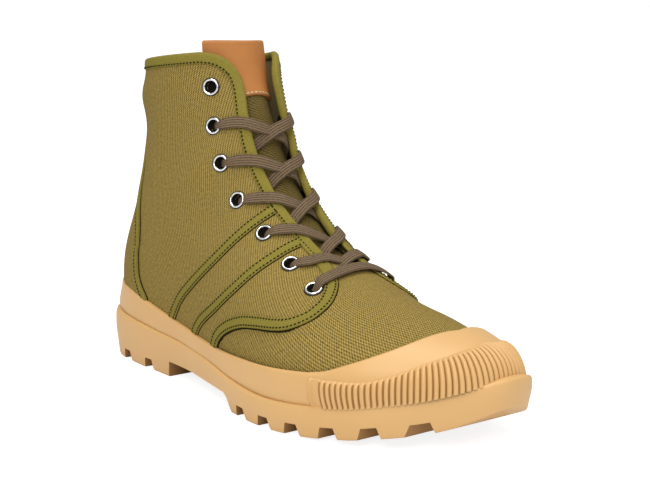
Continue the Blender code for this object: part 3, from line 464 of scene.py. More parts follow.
class Cloth:
    """Collects grids of points into one mesh, with a length in millimetres along both directions as UV."""

    def __init__(self):
        self.points, self.uvs, self.faces, self.shades, self.count = [], [], [], [], 0

    def add(self, grid, flip=False, keep=None, close=False, uv=None, shade=None):
        grid = np.asarray(grid, float)
        rows, cols = grid.shape[:2]
        if uv is None:
            uv = arc_uv(grid)
        index = np.arange(rows * cols).reshape(rows, cols) + self.count
        if close:
            index = np.concatenate([index, index[:, :1]], 1)
        quads = np.stack([index[:-1, :-1], index[1:, :-1], index[1:, 1:], index[:-1, 1:]], -1)
        if shade is None:
            shade = np.zeros(quads.shape[:2], int)
        if keep is not None:
            quads, shade = quads[keep], shade[keep]
        quads = quads.reshape(-1, 4)
        self.shades.append(np.ravel(shade))
        self.faces.append(quads[:, ::-1] if flip else quads)
        self.points.append(grid.reshape(-1, 3))
        self.uvs.append(np.asarray(uv).reshape(-1, 2))
        self.count += rows * cols
        return self

    def make(self, name, material, slot, replaced=(), weld=True, shade_material=None):
        mesh = bpy.data.meshes.new(name)
        points = np.concatenate(self.points) * MM + SHIFT
        mesh.from_pydata(points.tolist(), [], np.concatenate(self.faces).tolist())
        layer = mesh.uv_layers.new(name="weave")
        layer.data.foreach_set("uv", np.concatenate(self.uvs)[corner_vertices(mesh)].ravel())
        mesh.materials.append(material)
        if shade_material:
            mesh.materials.append(shade_material)
            mesh.polygons.foreach_set("material_index", np.concatenate(self.shades))
        if weld:
            bm = bmesh.new()
            bm.from_mesh(mesh)
            bmesh.ops.remove_doubles(bm, verts=bm.verts, dist=WELD_REACH)
            bmesh.ops.dissolve_degenerate(bm, edges=bm.edges, dist=DEGENERATE_REACH)
            bm.to_mesh(mesh)
            bm.free()
        mesh.shade_smooth()
        return place(bpy.data.objects.new(name, mesh), replaced)


def place(item, replaced=()):
    bpy.context.scene.collection.objects.link(item)
    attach(item, "root")
    if replaced:
        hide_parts(*replaced)
    return item


def corner_vertices(mesh):
    """Vertex at each corner of the faces."""
    corner = np.zeros(len(mesh.loops), np.int32)
    mesh.loops.foreach_get("vertex_index", corner)
    return corner


def arc_uv(grid):
    """Length along the rows and the columns of a grid."""
    along = np.linalg.norm(np.diff(grid, axis=0), axis=-1).mean(1)
    across = np.linalg.norm(np.diff(grid, axis=1), axis=-1)
    u = np.concatenate([[0], np.cumsum(along)])
    v = np.concatenate([np.zeros((len(grid), 1)), np.cumsum(across, 1)], 1)
    return np.stack([np.broadcast_to(u[:, None], v.shape), v], -1)


def grid_normals(grid, outward):
    """Normals of a grid, turned to the side that the outward vectors show."""
    normal = unit(np.cross(np.gradient(grid, axis=0), np.gradient(grid, axis=1)))
    sign = np.sign((normal * outward).sum(-1, keepdims=True))
    return normal * np.where(sign == 0, 1, sign)


# Materials

# Plain surfaces, with a linear colour.
PlainRow = namedtuple("PlainRow", "key name colour roughness metallic gloss")
PLAIN = make_table(PlainRow, [
    # Rubber darkened as painted shade in the bumper's rib valleys.
    ("rubber_shade", "rubber_shade", (0.370, 0.195, 0.062), 0.6, 0.0, 0.2),
    # Rubber darkened as painted shade on the sole's underside.
    ("tread", "tread_rubber", (0.310, 0.160, 0.056), 0.6, 0.0, 0.2),
    ("metal", "eyelet_steel", (0.80, 0.80, 0.79), 0.16, 1.0, 0.5),
    # Dark metal as painted shadow round the foot of each silver eyelet.
    ("dark_metal", "eyelet_rim", (0.045, 0.042, 0.036), 0.35, 0.8, 0.5),
    # Near-black as painted shade down the eyelets' barrels.
    ("hollow", "eyelet_hollow", (0.010, 0.009, 0.007), 0.9, 0.0, 0.05),
    ("thread", "dark_thread", (0.020, 0.019, 0.006), 0.9, 0.0, 0.05),
    ("pale_thread", "pale_thread", (0.62, 0.48, 0.30), 0.8, 0.0, 0.5),
    # Near-black sheet laid as painted shadow under the strips' lower edges and along the heel panel's edge.
    ("seam", "seam_shadow", (0.014, 0.012, 0.004), 0.95, 0.0, 0.05),
])
# Woven cloth between two colours, with the period of its yarns in millimetres.
WovenRow = namedtuple("WovenRow", "key name dark bright period twill")
WOVEN = make_table(WovenRow, [
    ("canvas", "olive_canvas", (0.044, 0.027, 0.0035), (0.385, 0.275, 0.075), 1.0, True),
    ("tape", "olive_tape", (0.140, 0.112, 0.016), (0.240, 0.196, 0.040), 0.9, False),
    # The olive canvas darkened as painted shade where the tongue lies in the throat's gap.
    ("tongue", "tongue_canvas", (0.032, 0.022, 0.005), (0.170, 0.121, 0.034), 1.2, True),
    ("lining", "lining_cloth", (0.16, 0.12, 0.05), (0.27, 0.21, 0.10), 1.2, False),
    ("insole", "insole_cloth", (0.20, 0.16, 0.08), (0.34, 0.27, 0.14), 1.4, False),
])
# Surfaces with soft clouds of colour and a fine grain: scale and detail of both, strength of the grain.
CloudedRow = namedtuple("CloudedRow", "key name colour dark bright roughness gloss cloud grain strength")
CLOUDED = make_table(CloudedRow, [
    ("rubber", "caramel_rubber", (0.565, 0.332, 0.121), (0.545, 0.317, 0.113), (0.590, 0.349, 0.131),
     0.46, 0.5, (22.0, 3.0), (900.0, 2.0), 0.12),
    ("leather", "tan_leather", (0.37, 0.143, 0.035), (0.315, 0.118, 0.027), (0.425, 0.170, 0.046),
     0.6, 0.25, (60.0, 4.0), (1400.0, 3.0), 0.25),
])
GRAIN_DEPTH = 0.0002
CLOTH_ROUGHNESS, CLOTH_GLOSS, CLOTH_BUMP, CLOTH_DEPTH = 0.9, 0.1, 0.6, 0.00025
# Scale of the uneven yarn across and along it, its detail, and the range of the weave that takes the colours.
SLUB_ACROSS, SLUB_ALONG, SLUB_DETAIL = 2.4, 0.5, 3.0
WEAVE_RANGE = (0.30, 0.70)
LACE_COLOUR, LACE_DARK, LACE_BRIGHT = (0.12, 0.085, 0.055), (0.027, 0.018, 0.010), (0.160, 0.107, 0.061)
LACE_RIB, LACE_PICK, LACE_DARK_END = 1.35, 1.1, 0.35
LACE_GLOSS, LACE_BUMP, LACE_DEPTH = 0.2, 0.8, 0.0003
WAVE_PERIOD = 2 * math.pi / 20


def add_node(material, kind, **values):
    """Node with properties and input values by name."""
    node = material.node_tree.nodes.new(kind)
    for name, value in values.items():
        if hasattr(node, name):
            setattr(node, name, value)
        else:
            node.inputs[name.replace("_", " ").title()].default_value = value
    return node


def link(material, start, end):
    material.node_tree.links.new(start, end)


def principled(name, colour, roughness, metallic=0.0, gloss=0.5):
    material = bpy.data.materials.new(name)
    material.use_nodes = True
    shader = material.node_tree.nodes["Principled BSDF"]
    shader.inputs["Base Color"].default_value = (*colour, 1.0)
    shader.inputs["Roughness"].default_value = roughness
    shader.inputs["Metallic"].default_value = metallic
    shader.inputs["Specular IOR Level"].default_value = gloss
    return material, shader


def texture_coords(material, name):
    return add_node(material, "ShaderNodeTexCoord").outputs[name]


def coloured(material, shader, source, dark, bright, ends=(0.0, 1.0)):
    """Base colour between two colours over a range of a source."""
    ramp = add_node(material, "ShaderNodeValToRGB")
    for element, colour, end in zip(ramp.color_ramp.elements, (dark, bright), ends):
        element.color = (*colour, 1.0)
        element.position = end
    link(material, source, ramp.inputs["Fac"])
    link(material, ramp.outputs["Color"], shader.inputs["Base Color"])


def added(material, first, second):
    node = add_node(material, "ShaderNodeMath", operation="ADD")
    link(material, first, node.inputs[0])
    link(material, second, node.inputs[1])
    return node.outputs[0]


def scaled(material, source, factor):
    node = add_node(material, "ShaderNodeMath", operation="MULTIPLY")
    link(material, source, node.inputs[0])
    node.inputs[1].default_value = factor
    return node.outputs[0]


def bumped(material, shader, height, strength, distance):
    bump = add_node(material, "ShaderNodeBump", strength=strength, distance=distance)
    link(material, height, bump.inputs["Height"])
    link(material, bump.outputs["Normal"], shader.inputs["Normal"])


def wave(material, coords, direction, period):
    """Bands across the UV with a period in millimetres."""
    node = add_node(material, "ShaderNodeTexWave", wave_type="BANDS", bands_direction=direction,
                    scale=WAVE_PERIOD / period, distortion=0.0)
    link(material, coords, node.inputs["Vector"])
    return node.outputs["Fac"]


def noise(material, coords, scale, detail):
    node = add_node(material, "ShaderNodeTexNoise", scale=scale, detail=detail)
    link(material, coords, node.inputs["Vector"])
    return node.outputs["Fac"]


def slubs(material, coords, along, across):
    """Noise stretched along the yarns."""
    node = add_node(material, "ShaderNodeMapping", scale=(along, across, 1.0))
    link(material, coords, node.inputs["Vector"])
    return noise(material, node.outputs["Vector"], 1.0, SLUB_DETAIL)


def woven(row):
    """Cloth with a weave in its UV and uneven yarn."""
    material, shader = principled(row.name, row.bright, CLOTH_ROUGHNESS, gloss=CLOTH_GLOSS)
    uv = texture_coords(material, "UV")
    warp = wave(material, uv, "X", row.period)
    weft = wave(material, uv, "DIAGONAL" if row.twill else "Y", row.period)
    weave = scaled(material, added(material, warp, weft), 0.5)
    yarn = added(material, slubs(material, uv, SLUB_ACROSS, SLUB_ALONG),
                 slubs(material, uv, SLUB_ALONG, SLUB_ACROSS))
    grain = scaled(material, added(material, weave, yarn), 1 / 3)
    coloured(material, shader, grain, row.dark, row.bright, WEAVE_RANGE)
    bumped(material, shader, grain, CLOTH_BUMP, CLOTH_DEPTH)
    return material


def clouded(row):
    material, shader = principled(row.name, row.colour, row.roughness, gloss=row.gloss)
    coords = texture_coords(material, "Object")
    coloured(material, shader, noise(material, coords, *row.cloud), row.dark, row.bright)
    bumped(material, shader, noise(material, coords, *row.grain), row.strength, GRAIN_DEPTH)
    return material


def lace_material():
    """Flat lace with ribs along it."""
    material, shader = principled("taupe_lace", LACE_COLOUR, CLOTH_ROUGHNESS, gloss=LACE_GLOSS)
    uv = texture_coords(material, "UV")
    ribs = added(material, wave(material, uv, "Y", LACE_RIB), noise(material, uv, LACE_PICK, 2.0))
    coloured(material, shader, ribs, LACE_DARK, LACE_BRIGHT, (LACE_DARK_END, 1.0))
    bumped(material, shader, ribs, LACE_BUMP, LACE_DEPTH)
    return material


def make_materials():
    made = {row.key: woven(row) for row in WOVEN}
    made.update({row.key: clouded(row) for row in CLOUDED})
    made.update({row.key: principled(*row[1:])[0] for row in PLAIN})
    made["lace"] = lace_material()
    return made


# Upper

UPPER_ROWS, UPPER_COLUMNS = 9, 100
# Extra rows at the front of the throat.
THROAT_FRONT_END, THROAT_FRONT_ROWS = 6.9, 10
# Places on the lateral quarter that set the direction of the weave: forward and back.
WEAVE_FRONT, WEAVE_BACK = Place(8.2, 0.55), Place(11.5, 0.55)
HEEL_LINE_REACH = 1e-5


def near_eyelet(points):
    """True where a point lies inside an eyelet's hole."""
    hit = np.zeros(points.shape[:-1], bool)
    for row in EYELETS:
        for side in SIDES:
            centre = upper_point(*eyelet_place(row, side), side)
            hit |= np.linalg.norm(points - centre, axis=-1) < EYELET_HOLE
    return hit


def panel_drop(k, s):
    """Depth of the vamp under the edge of the quarters that lie on it."""
    edge = np.interp(s, column(QUARTER_EDGE, "share"), column(QUARTER_EDGE, "section"))
    return -VAMP_DROP * (1 - ease((k - edge) / VAMP_STEP + 0.5))


def upper_rows():
    even = np.linspace(0, COLLAR, UPPER_ROWS * COLLAR + 1)
    throat = column(THROAT, "section")
    front = np.linspace(throat[0], THROAT_FRONT_END, THROAT_FRONT_ROWS)
    return np.unique(np.concatenate([even, throat, front]))


def upper_layer(lift):
    """Cloth of both sides at a lift, with holes at the eyelets."""
    cloth = Cloth()
    k = upper_rows()
    for side in SIDES:
        first = throat_share(k, side)
        s = first[:, None] + (1 - first)[:, None] * np.linspace(0, 1, UPPER_COLUMNS)[None, :]
        sections = np.broadcast_to(k[:, None], s.shape)
        grid = skin(sections, s, side, panel_drop(sections, s) + lift)
        middle = 0.25 * (grid[:-1, :-1] + grid[1:, :-1] + grid[:-1, 1:] + grid[1:, 1:])
        cloth.add(grid, flip=side == MEDIAL, keep=~near_eyelet(middle))
    return cloth


def build_upper(materials):
    lay_flat(upper_layer(0.0).make("upper_canvas", materials["canvas"], "canvas", ["upper"]))
    upper_layer(-WALL).make("upper_lining", materials["lining"], "canvas")


def on_heel_line(vertex):
    """True on the middle line of the heel's back."""
    return abs(vertex.co.y - SHIFT[1]) < HEEL_LINE_REACH and vertex.co.x < HEEL_CENTRE[0] * MM + SHIFT[0]


def unwrap(item):
    """Cuts the mesh at the heel and lays it flat in its UV."""
    bm = bmesh.new()
    bm.from_mesh(item.data)
    for edge in bm.edges:
        edge.seam = all(on_heel_line(vertex) for vertex in edge.verts)
    bm.to_mesh(item.data)
    bm.free()
    bpy.context.view_layer.objects.active = item
    bpy.ops.object.mode_set(mode="EDIT")
    bpy.ops.mesh.select_all(action="SELECT")
    bpy.ops.uv.unwrap(method="MINIMUM_STRETCH", iterations=8, margin=0.0)
    bpy.ops.object.mode_set(mode="OBJECT")


def read_values(items, name, width):
    values = np.zeros(width * len(items))
    items.foreach_get(name, values)
    return values.reshape(-1, width)


def lay_flat(item):
    """Lays the canvas out as a pattern cut at the heel and keeps the pattern in millimetres as its UV."""
    unwrap(item)
    layer = item.data.uv_layers["weave"]
    flat = read_values(layer.data, "uv", 2)
    solid = (read_values(item.data.vertices, "co", 3) - SHIFT) / MM
    solid = solid[corner_vertices(item.data)]
    ends = [upper_point(*spot, LATERAL) for spot in (WEAVE_FRONT, WEAVE_BACK)]
    front, back = (flat[np.argmin(np.linalg.norm(solid - end, axis=-1))] for end in ends)
    along = unit(back - front)
    scale = np.linalg.norm(ends[1] - ends[0]) / np.linalg.norm(back - front)
    turned = np.stack([flat @ along, flat @ np.array([-along[1], along[0]])], -1) * scale
    layer.data.foreach_set("uv", turned.ravel())


# Strips on the upper

# Height of a strip of cloth across its width, as shares of half the width and of its thickness.
STRIP_SHAPE = [(-1.0, -0.35), (-0.985, 0.45), (-0.93, 0.85), (-0.8, 0.97), (-0.4, 1.0), (0.0, 1.0),
               (0.4, 1.0), (0.8, 0.97), (0.93, 0.85), (0.985, 0.45), (1.0, -0.35)]
# Strips sewn on both sides, with the first place that has stitches. The quarter's tape lies over the bands.
QUARTER_RISE = 0.35
StripRow = namedtuple("StripRow", "piece node places stitched width lift steps")
STRIPS = make_table(StripRow, [
    ("quarter_edge_tape", "quarter_tape", QUARTER_TAPE, 3, TAPE_WIDTH, TAPE_LIFT + QUARTER_RISE, 130),
    ("upper_band_cloth", "upper_band", UPPER_BAND, 0, BAND_WIDTH, TAPE_LIFT, 90),
    ("lower_band_cloth", "lower_band", LOWER_BAND, 0, BAND_WIDTH, TAPE_LIFT, 90),
])
THREAD_RISE = 0.05
SEAM_SHADOW_STEPS = 160
# Pitch, length and width of the stitches in cloth and in leather.
DARK_STITCH, PALE_STITCH = (2.2, 1.5, 1.0), (2.6, 1.9, 0.7)
# Thread of a stitch: places of its rings along it, sides, flatness, tip and the reach of its direction.
STITCH_RINGS = (-1.0, -0.6, 0.0, 0.6, 1.0)
STITCH_SIDES, STITCH_FLAT, STITCH_TIP, STITCH_REACH = 6, 0.8, 0.02, 0.3
# Section of the folded binding: distance in from the edge and height over the upper.
BINDING_SHAPE = [(5.2, -0.2), (5.15, 0.45), (4.85, 0.85), (4.0, 1.05), (2.5, 1.12), (1.0, 1.15), (0.0, 1.05),
                 (-0.7, 0.7), (-1.15, 0.0), (-1.3, -1.0), (-1.15, -2.0), (-0.7, -2.7), (0.0, -3.05),
                 (1.0, -3.1), (2.9, -2.9), (3.0, -2.0)]
BINDING_STITCH_IN, BINDING_STITCH_LIFT = 4.2, 1.08
# Start of the collar's corner, and steps up the throat, round the corner and along the collar.
CORNER_START, THROAT_STEPS, CORNER_STEPS, COLLAR_STEPS = 18.0, 110, 24, 60
# Heel panel: reach under the foxing, rows, columns, lift of its turned edge; its tape, stitches and painted
# seam shadow as distances from the edge and heights.
PANEL_UNDER, PANEL_LEVELS, PANEL_COLUMNS, PANEL_SAMPLES, PANEL_EDGE_LIFT = 4, 121, 26, 400, -0.2
PANEL_TAPE_IN, PANEL_TAPE_WIDTH, PANEL_TAPE_RISE, PANEL_TAPE_STEPS = -1.3, 3.0, 0.5, 90
PANEL_STITCH_IN, PANEL_STITCH_RISE = -2.6, 0.1
PANEL_SEAM_SHADOW, PANEL_SEAM_SHADOW_LIFT = (-0.2, 0.6, 1.3), 0.25
# Leather disc: share of its radius and of its lift, ring by ring.
PATCH_SHAPE = [(0.0, 1.0), (0.3, 1.0), (0.6, 1.0), (0.8, 1.0), (0.84, 0.9), (0.88, 1.0), (0.95, 1.0),
               (0.985, 0.85), (1.0, 0.5), (1.0, -0.1)]
PATCH_STITCH, PATCH_TURNS, PATCH_PIECES = 0.92, 64, 10


def curve_places(places, steps):
    index = np.arange(len(places))
    where = np.linspace(0, len(places) - 1, steps)
    return smooth(where, index, column(places, "section")), smooth(where, index, column(places, "share"))


def across_path(k, s, side):
    """Unit vectors across a path over the outer face."""
    tangent = np.gradient(upper_point(k, s, side), axis=0)
    return unit(np.cross(upper_normal(k, s, side), tangent))


def beside_path(k, s, side, across, shape):
    """Grid beside a path, from distances across it and heights over the upper."""
    return np.stack([skin(*walk(k, s, side, across * away), side, lift) for away, lift in shape], 1)


def strip(places, width, lift, side, steps):
    """Grid of a strip of cloth along a path."""
    k, s = curve_places(places, steps)
    shape = [(share * 0.5 * width, height * lift) for share, height in STRIP_SHAPE]
    return beside_path(k, s, side, across_path(k, s, side), shape)


def path_line(places, side, offset, lift, steps=240):
    """Points and normals along a path, moved sideways."""
    k, s = curve_places(places, steps)
    spot = walk(k, s, side, across_path(k, s, side) * offset)
    return skin(*spot, side, lift), upper_normal(*spot, side)


class Stitches:
    """Short threads collected into one mesh."""

    def __init__(self, pitch, length, width):
        self.pitch, self.length, self.width = pitch, length, width
        self.cloth = Cloth()

    def add(self, points, normals):
        lengths = path_lengths(points)
        where = np.arange(0.5 * self.pitch, lengths[-1], self.pitch)
        centre = along_path(where, lengths, points)
        up = unit(along_path(where, lengths, normals))
        ahead = along_path(where + STITCH_REACH, lengths, points)
        along = unit(ahead - along_path(where - STITCH_REACH, lengths, points))
        across = np.cross(up, along)
        turns = full_turn(STITCH_SIDES)[:, None]
        for c, u, a, w in zip(centre, up, along, across):
            spread = np.cos(turns) * w + np.sin(turns) * u * STITCH_FLAT
            rings = []
            for t in STITCH_RINGS:
                radius = 0.5 * self.width * math.sqrt(max(1 - t * t, STITCH_TIP))
                rings.append(c + a * t * 0.5 * self.length + radius * spread)
            self.cloth.add(np.array(rings), close=True)


def build_tapes(materials, stitches):
    for side in SIDES:
        word = SIDE_NAMES[side]
        for row in STRIPS:
            cloth = Cloth().add(strip(row.places, row.width, row.lift, side, row.steps), flip=side == LATERAL)
            cloth.make(f"{row.piece}_{word}", materials["tape"], "tape", [f"{row.node}_{word}"])
            for offset in TAPE_STITCHES:
                stitches.add(*path_line(row.places[row.stitched:], side, offset, row.lift + THREAD_RISE))
    build_seam_shadows(materials)


def build_seam_shadows(materials):
    """Near-black strips as painted shadow where the strips' lower edges stand over the canvas."""
    cloth = Cloth()
    for side in SIDES:
        for row in STRIPS:
            k, s = curve_places(row.places, SEAM_SHADOW_STEPS)
            shape = [(0.5 * row.width + away, lift) for away, lift in SEAM_SHADOW_SHAPE]
            cloth.add(beside_path(k, s, side, across_path(k, s, side) * -side, shape), flip=side == LATERAL)
    cloth.make("band_seam_shadows", materials["seam"], "tape", weld=False)


def edge_half(side):
    """Places along one half of the free edge, from the throat's front to the back of the collar."""
    climb = np.linspace(BINDING_START, CORNER_START, THROAT_STEPS)
    corner = np.concatenate([climb, np.linspace(CORNER_START, COLLAR, CORNER_STEPS)[1:]])
    shares = throat_share(corner, side)
    level = np.linspace(shares[-1], 1.0, COLLAR_STEPS)[1:]
    return np.concatenate([corner, np.full(len(level), float(COLLAR))]), np.concatenate([shares, level])


def build_binding(materials, stitches):
    cloth = Cloth()
    for side in SIDES:
        k, s = edge_half(side)
        tangent = np.gradient(upper_point(k, s, side), axis=0)
        tangent[-1] = (0.0, -side, 0.0)
        out = unit(np.cross(tangent, upper_normal(k, s, side))) * -side
        columns = []
        for inward, lift in BINDING_SHAPE:
            spot = walk(k, s, side, -out * max(inward, 0.0))
            columns.append(skin(*spot, side, lift) - out * min(inward, 0.0))
        cloth.add(np.stack(columns, 1), flip=side == LATERAL)
        spot = walk(k, s, side, -out * BINDING_STITCH_IN)
        stitches.add(skin(*spot, side, BINDING_STITCH_LIFT), upper_normal(*spot, side))
    cloth.make("collar_edge_tape", materials["tape"], "tape", ["collar_binding"])


def to_places(k, s):
    return [Place(*spot) for spot in zip(k, s)]


def build_backstay(materials, stitches):
    """Heel panel with a taped front edge."""
    levels = np.linspace(BACKSTAY[0].z - PANEL_UNDER, BACKSTAY[-1].z, PANEL_LEVELS)
    edges = read_table(BACKSTAY, "z", "edge_x", levels)
    lift = np.full(PANEL_COLUMNS, BACKSTAY_LIFT)
    lift[0] = PANEL_EDGE_LIFT
    cloth, trim, seam = Cloth(), Cloth(), Cloth()
    for side in SIDES:
        rows = [row_to_heel(z, x, side, PANEL_COLUMNS, PANEL_SAMPLES) for x, z in zip(edges, levels)]
        cloth.add(np.array([skin(*row, side, lift) for row in rows]), flip=side == MEDIAL)
        k, s = np.array(rows)[:, :, 0].T
        path = to_places(k, s)
        tape = to_places(*walk(k, s, side, across_path(k, s, side) * side * PANEL_TAPE_IN))
        grid = strip(tape, PANEL_TAPE_WIDTH, BACKSTAY_LIFT + PANEL_TAPE_RISE, side, PANEL_TAPE_STEPS)
        trim.add(grid, flip=side == LATERAL)
        stitches.add(*path_line(tape, side, side * PANEL_STITCH_IN, BACKSTAY_LIFT + PANEL_STITCH_RISE))
        # Near-black strip along the panel's edge as painted shadow where the panel stands over the canvas.
        line = [path_line(path, side, side * offset, PANEL_SEAM_SHADOW_LIFT)[0] for offset in PANEL_SEAM_SHADOW]
        seam.add(np.stack(line, 1), flip=side == LATERAL)
    cloth.make("heel_panel", materials["canvas"], "canvas", ["backstay"])
    trim.make("heel_panel_tape", materials["tape"], "tape")
    seam.make("heel_panel_seam_shadow", materials["seam"], "tape", weld=False)


def build_patch(materials, stitches):
    """Plain round leather disc on the medial ankle."""
    k, s = (row[0] for row in row_to_heel(PATCH_HEIGHT, PATCH_X, MEDIAL, 2))
    right = unit(upper_slopes(k, s, MEDIAL)[0])
    up = np.cross(upper_normal(k, s, MEDIAL), right)
    turns = full_turn(PATCH_TURNS)[:, None]
    rays = (np.cos(turns) * right + np.sin(turns) * up) * PATCH_RADIUS

    def ring(steps):
        count = len(steps)
        return walk(np.full(count, k), np.full(count, s), MEDIAL, steps, PATCH_PIECES)

    grid = [skin(*ring(rays * share), MEDIAL, height * PATCH_LIFT) for share, height in PATCH_SHAPE]
    cloth = Cloth().add(np.array(grid), close=True)
    cloth.make("ankle_disc", materials["leather"], "leather", ["ankle_patch"])
    spot = ring(np.concatenate([rays, rays[:1]]) * PATCH_STITCH)
    stitches.add(skin(*spot, MEDIAL, PATCH_LIFT), upper_normal(*spot, MEDIAL))


# Tongue and tab

# Sections over which the tongue leans to the lateral side.
LEAN_START, LEAN_SPAN = 12.0, 7.0
# Step back along the sections that gives the direction past the collar.
CLIMB_STEP = 0.4
# Sections over which the tongue sinks under the throat's front, its drop before them, and its two depths.
SINK_START, SINK_SPAN, FRONT_DROP = 6.1, 1.4, 1.0
DROP_SECTIONS = (9.0, 14.0)
# Rows of the tongue, closer together at the throat's front.
TONGUE_SECTIONS = np.concatenate([np.linspace(TONGUE_START, 9.0, 34), np.linspace(9.2, COLLAR, 50)])
TONGUE_COLUMNS = 31
# Tab: gap to the tongue, rounding at its top, tuck and rounding of its lower edge, its first row above that,
# rows up its front, round its fold and down its back, and its stitches' place.
TAB_GAP, TAB_ROUND, TAB_COLUMNS = 0.3, 1.6, 33
TAB_EDGE_TUCK, TAB_EDGE_ROUND, TAB_FIRST = 0.2, 0.3, 0.05
TAB_FRONT_ROWS, TAB_FOLD_ROWS, TAB_BACK_ROWS, TAB_NECK = 16, 9, 6, (0.4, 0.75)
TAB_STITCH_UP, TAB_STITCH_IN, TAB_STITCH_RISE, TAB_STITCH_STEPS = 0.16, 1.5, 0.05, 60
SHARP_EDGE, SHARP_TREAD = math.radians(50), math.radians(35)


def side_of(y):
    return LATERAL if y < 0 else MEDIAL


def across_row(k, half, lift, rise, columns):
    """Points across the throat at a section, at a lift over the upper and a rise past its collar."""
    row = []
    for y in np.linspace(-half, half, columns) + TONGUE_LEAN * ease((k - LEAN_START) / LEAN_SPAN):
        side = side_of(y)
        s = share_at_half(np.array(k), abs(y), side)
        point = smooth_skin(np.array(k), s, side, lift)
        if rise:
            climb = point - smooth_skin(np.array(k - CLIMB_STEP), s, side, lift)
            point = point + unit(climb) * rise
        row.append(point)
    return row


def tongue_drop(k):
    sink = ease((k - SINK_START) / SINK_SPAN)
    return np.interp(k, DROP_SECTIONS, (TONGUE_DROP, TONGUE_TAB_DROP)) * sink + FRONT_DROP * (1 - sink)


def tongue_ring(k, half, lift, rise):
    """Points once round the tongue, over its front and back over its rear face."""
    front = across_row(k, half, lift, rise, TONGUE_COLUMNS)
    back = across_row(k, half, lift - TONGUE_THICKNESS, rise, TONGUE_COLUMNS)
    return front + back[::-1]


def build_tongue(materials):
    half = np.interp(TONGUE_SECTIONS, column(TONGUE_HALF, "section"), column(TONGUE_HALF, "half"))
    rings = [tongue_ring(k, h, -tongue_drop(k), 0.0) for k, h in zip(TONGUE_SECTIONS, half)]
    rings.append(tongue_ring(COLLAR, half[-1], -TONGUE_TAB_DROP, TONGUE_RISE))
    cloth = Cloth().add(np.array(rings), close=True, flip=True)
    # The tongue's canvas is darkened as painted shade.
    item = cloth.make("tongue_cloth", materials["tongue"], "canvas", ["tongue"])
    item.data.set_sharp_from_angle(angle=SHARP_EDGE)


def tab_route(outer, inner):
    """Sections, lifts and rises up the tab's front, over its fold and down its back."""
    top = TONGUE_RISE + TAB_GAP + TAB_THICKNESS - TAB_ROUND
    middle, radius = 0.5 * (outer + inner), 0.5 * (outer - inner)
    edge = (outer - TAB_THICKNESS - TAB_EDGE_TUCK, outer - TAB_EDGE_ROUND)
    route = [(TAB_START, lift, 0.0) for lift in edge]
    route += [(k, outer, 0.0) for k in np.linspace(TAB_START + TAB_FIRST, COLLAR, TAB_FRONT_ROWS)]
    route += [(COLLAR, outer, (top + TAB_ROUND) * share) for share in TAB_NECK]
    for turn in np.linspace(0, math.pi, TAB_FOLD_ROWS):
        route.append((COLLAR, middle + radius * math.cos(turn), top + TAB_ROUND * math.sin(turn)))
    return route + [(k, inner, 0.0) for k in np.linspace(COLLAR, TAB_BACK_END, TAB_BACK_ROWS)]


def build_tab(materials, stitches):
    """Leather strip folded over the top of the tongue."""
    outer = TAB_GAP - TONGUE_TAB_DROP + TAB_THICKNESS
    inner = -TONGUE_TAB_DROP - TONGUE_THICKNESS - TAB_GAP - TAB_THICKNESS
    grid = [across_row(k, TAB_HALF, lift, rise, TAB_COLUMNS) for k, lift, rise in tab_route(outer, inner)]
    cloth = Cloth().add(np.array(grid), flip=True)
    cloth.make("tongue_leather_tab", materials["leather"], "leather", ["tongue_tab"])
    lift = outer + TAB_STITCH_RISE
    low, high = (np.array(across_row(TAB_START + TAB_STITCH_UP, TAB_HALF - TAB_STITCH_IN, height, 0.0,
                                     TAB_STITCH_STEPS)) for height in (lift, lift + 1))
    stitches.add(low, high - low)


# Eyelets and lace

EYELET_TURNS = 40
# Sides of the lace's section and powers that flatten it.
LACE_SIDES, LACE_FLAT, LACE_ROUND = 16, 0.55, 0.7
LACE_STEPS, LACE_BAR_STEPS, LACE_SOFTENING = 60, 61, 3
# The strip's start is drawn to its eyelet from this distance across, over this span.
PULL_START, PULL_SPAN = 15, 8
# Reach of the rise of one strip over the other.
OVER_REACH = 7.0
# Bar: run down into its eyelets, depth in them, steepness, width share there.
BAR_RUN, BAR_DEPTH, BAR_STEEP, BAR_NARROW = 5.0, -2.2, 1.1, 0.68
HEIGHT_SECTIONS = np.linspace(4.5, COLLAR, 500)


def build_eyelets(materials):
    rim_shadows, barrels = Cloth(), Cloth()
    for number, row in enumerate(EYELETS, 1):
        for side in SIDES:
            spot = eyelet_place(row, side)
            normal = upper_normal(*spot, side)
            first = unit(np.cross(normal, (0.0, 0.0, 1.0)))
            turn = np.stack([first, np.cross(normal, first), normal])
            middle = skin(*spot, side, 0.0)
            word = f"{SIDE_NAMES[side]}_{number}"
            roll = Cloth().add(lathe(EYELET_ROLL) @ turn + middle, close=True)
            roll.make(f"pressed_eyelet_{word}", materials["metal"], "eyelet_metal", [f"eyelet_{word}"])
            # Outer rim darkened as painted shadow where the eyelet meets the cloth.
            rim_shadows.add(lathe(EYELET_RIM) @ turn + middle, close=True)
            # Barrel darkened as painted shade inside the hole.
            barrels.add(lathe(EYELET_BARREL) @ turn + middle, close=True)
    rim_shadows.make("eyelet_flange_shadows", materials["dark_metal"], "eyelet_metal")
    barrels.make("eyelet_barrels", materials["hollow"], "eyelet_metal")


def lathe(profile):
    """Rings of a turned profile about the upright axis."""
    angles = full_turn(EYELET_TURNS)
    circle = np.stack([np.cos(angles), np.sin(angles), np.zeros(EYELET_TURNS)], -1)
    return np.array([point.radius * circle + (0.0, 0.0, point.height) for point in profile])


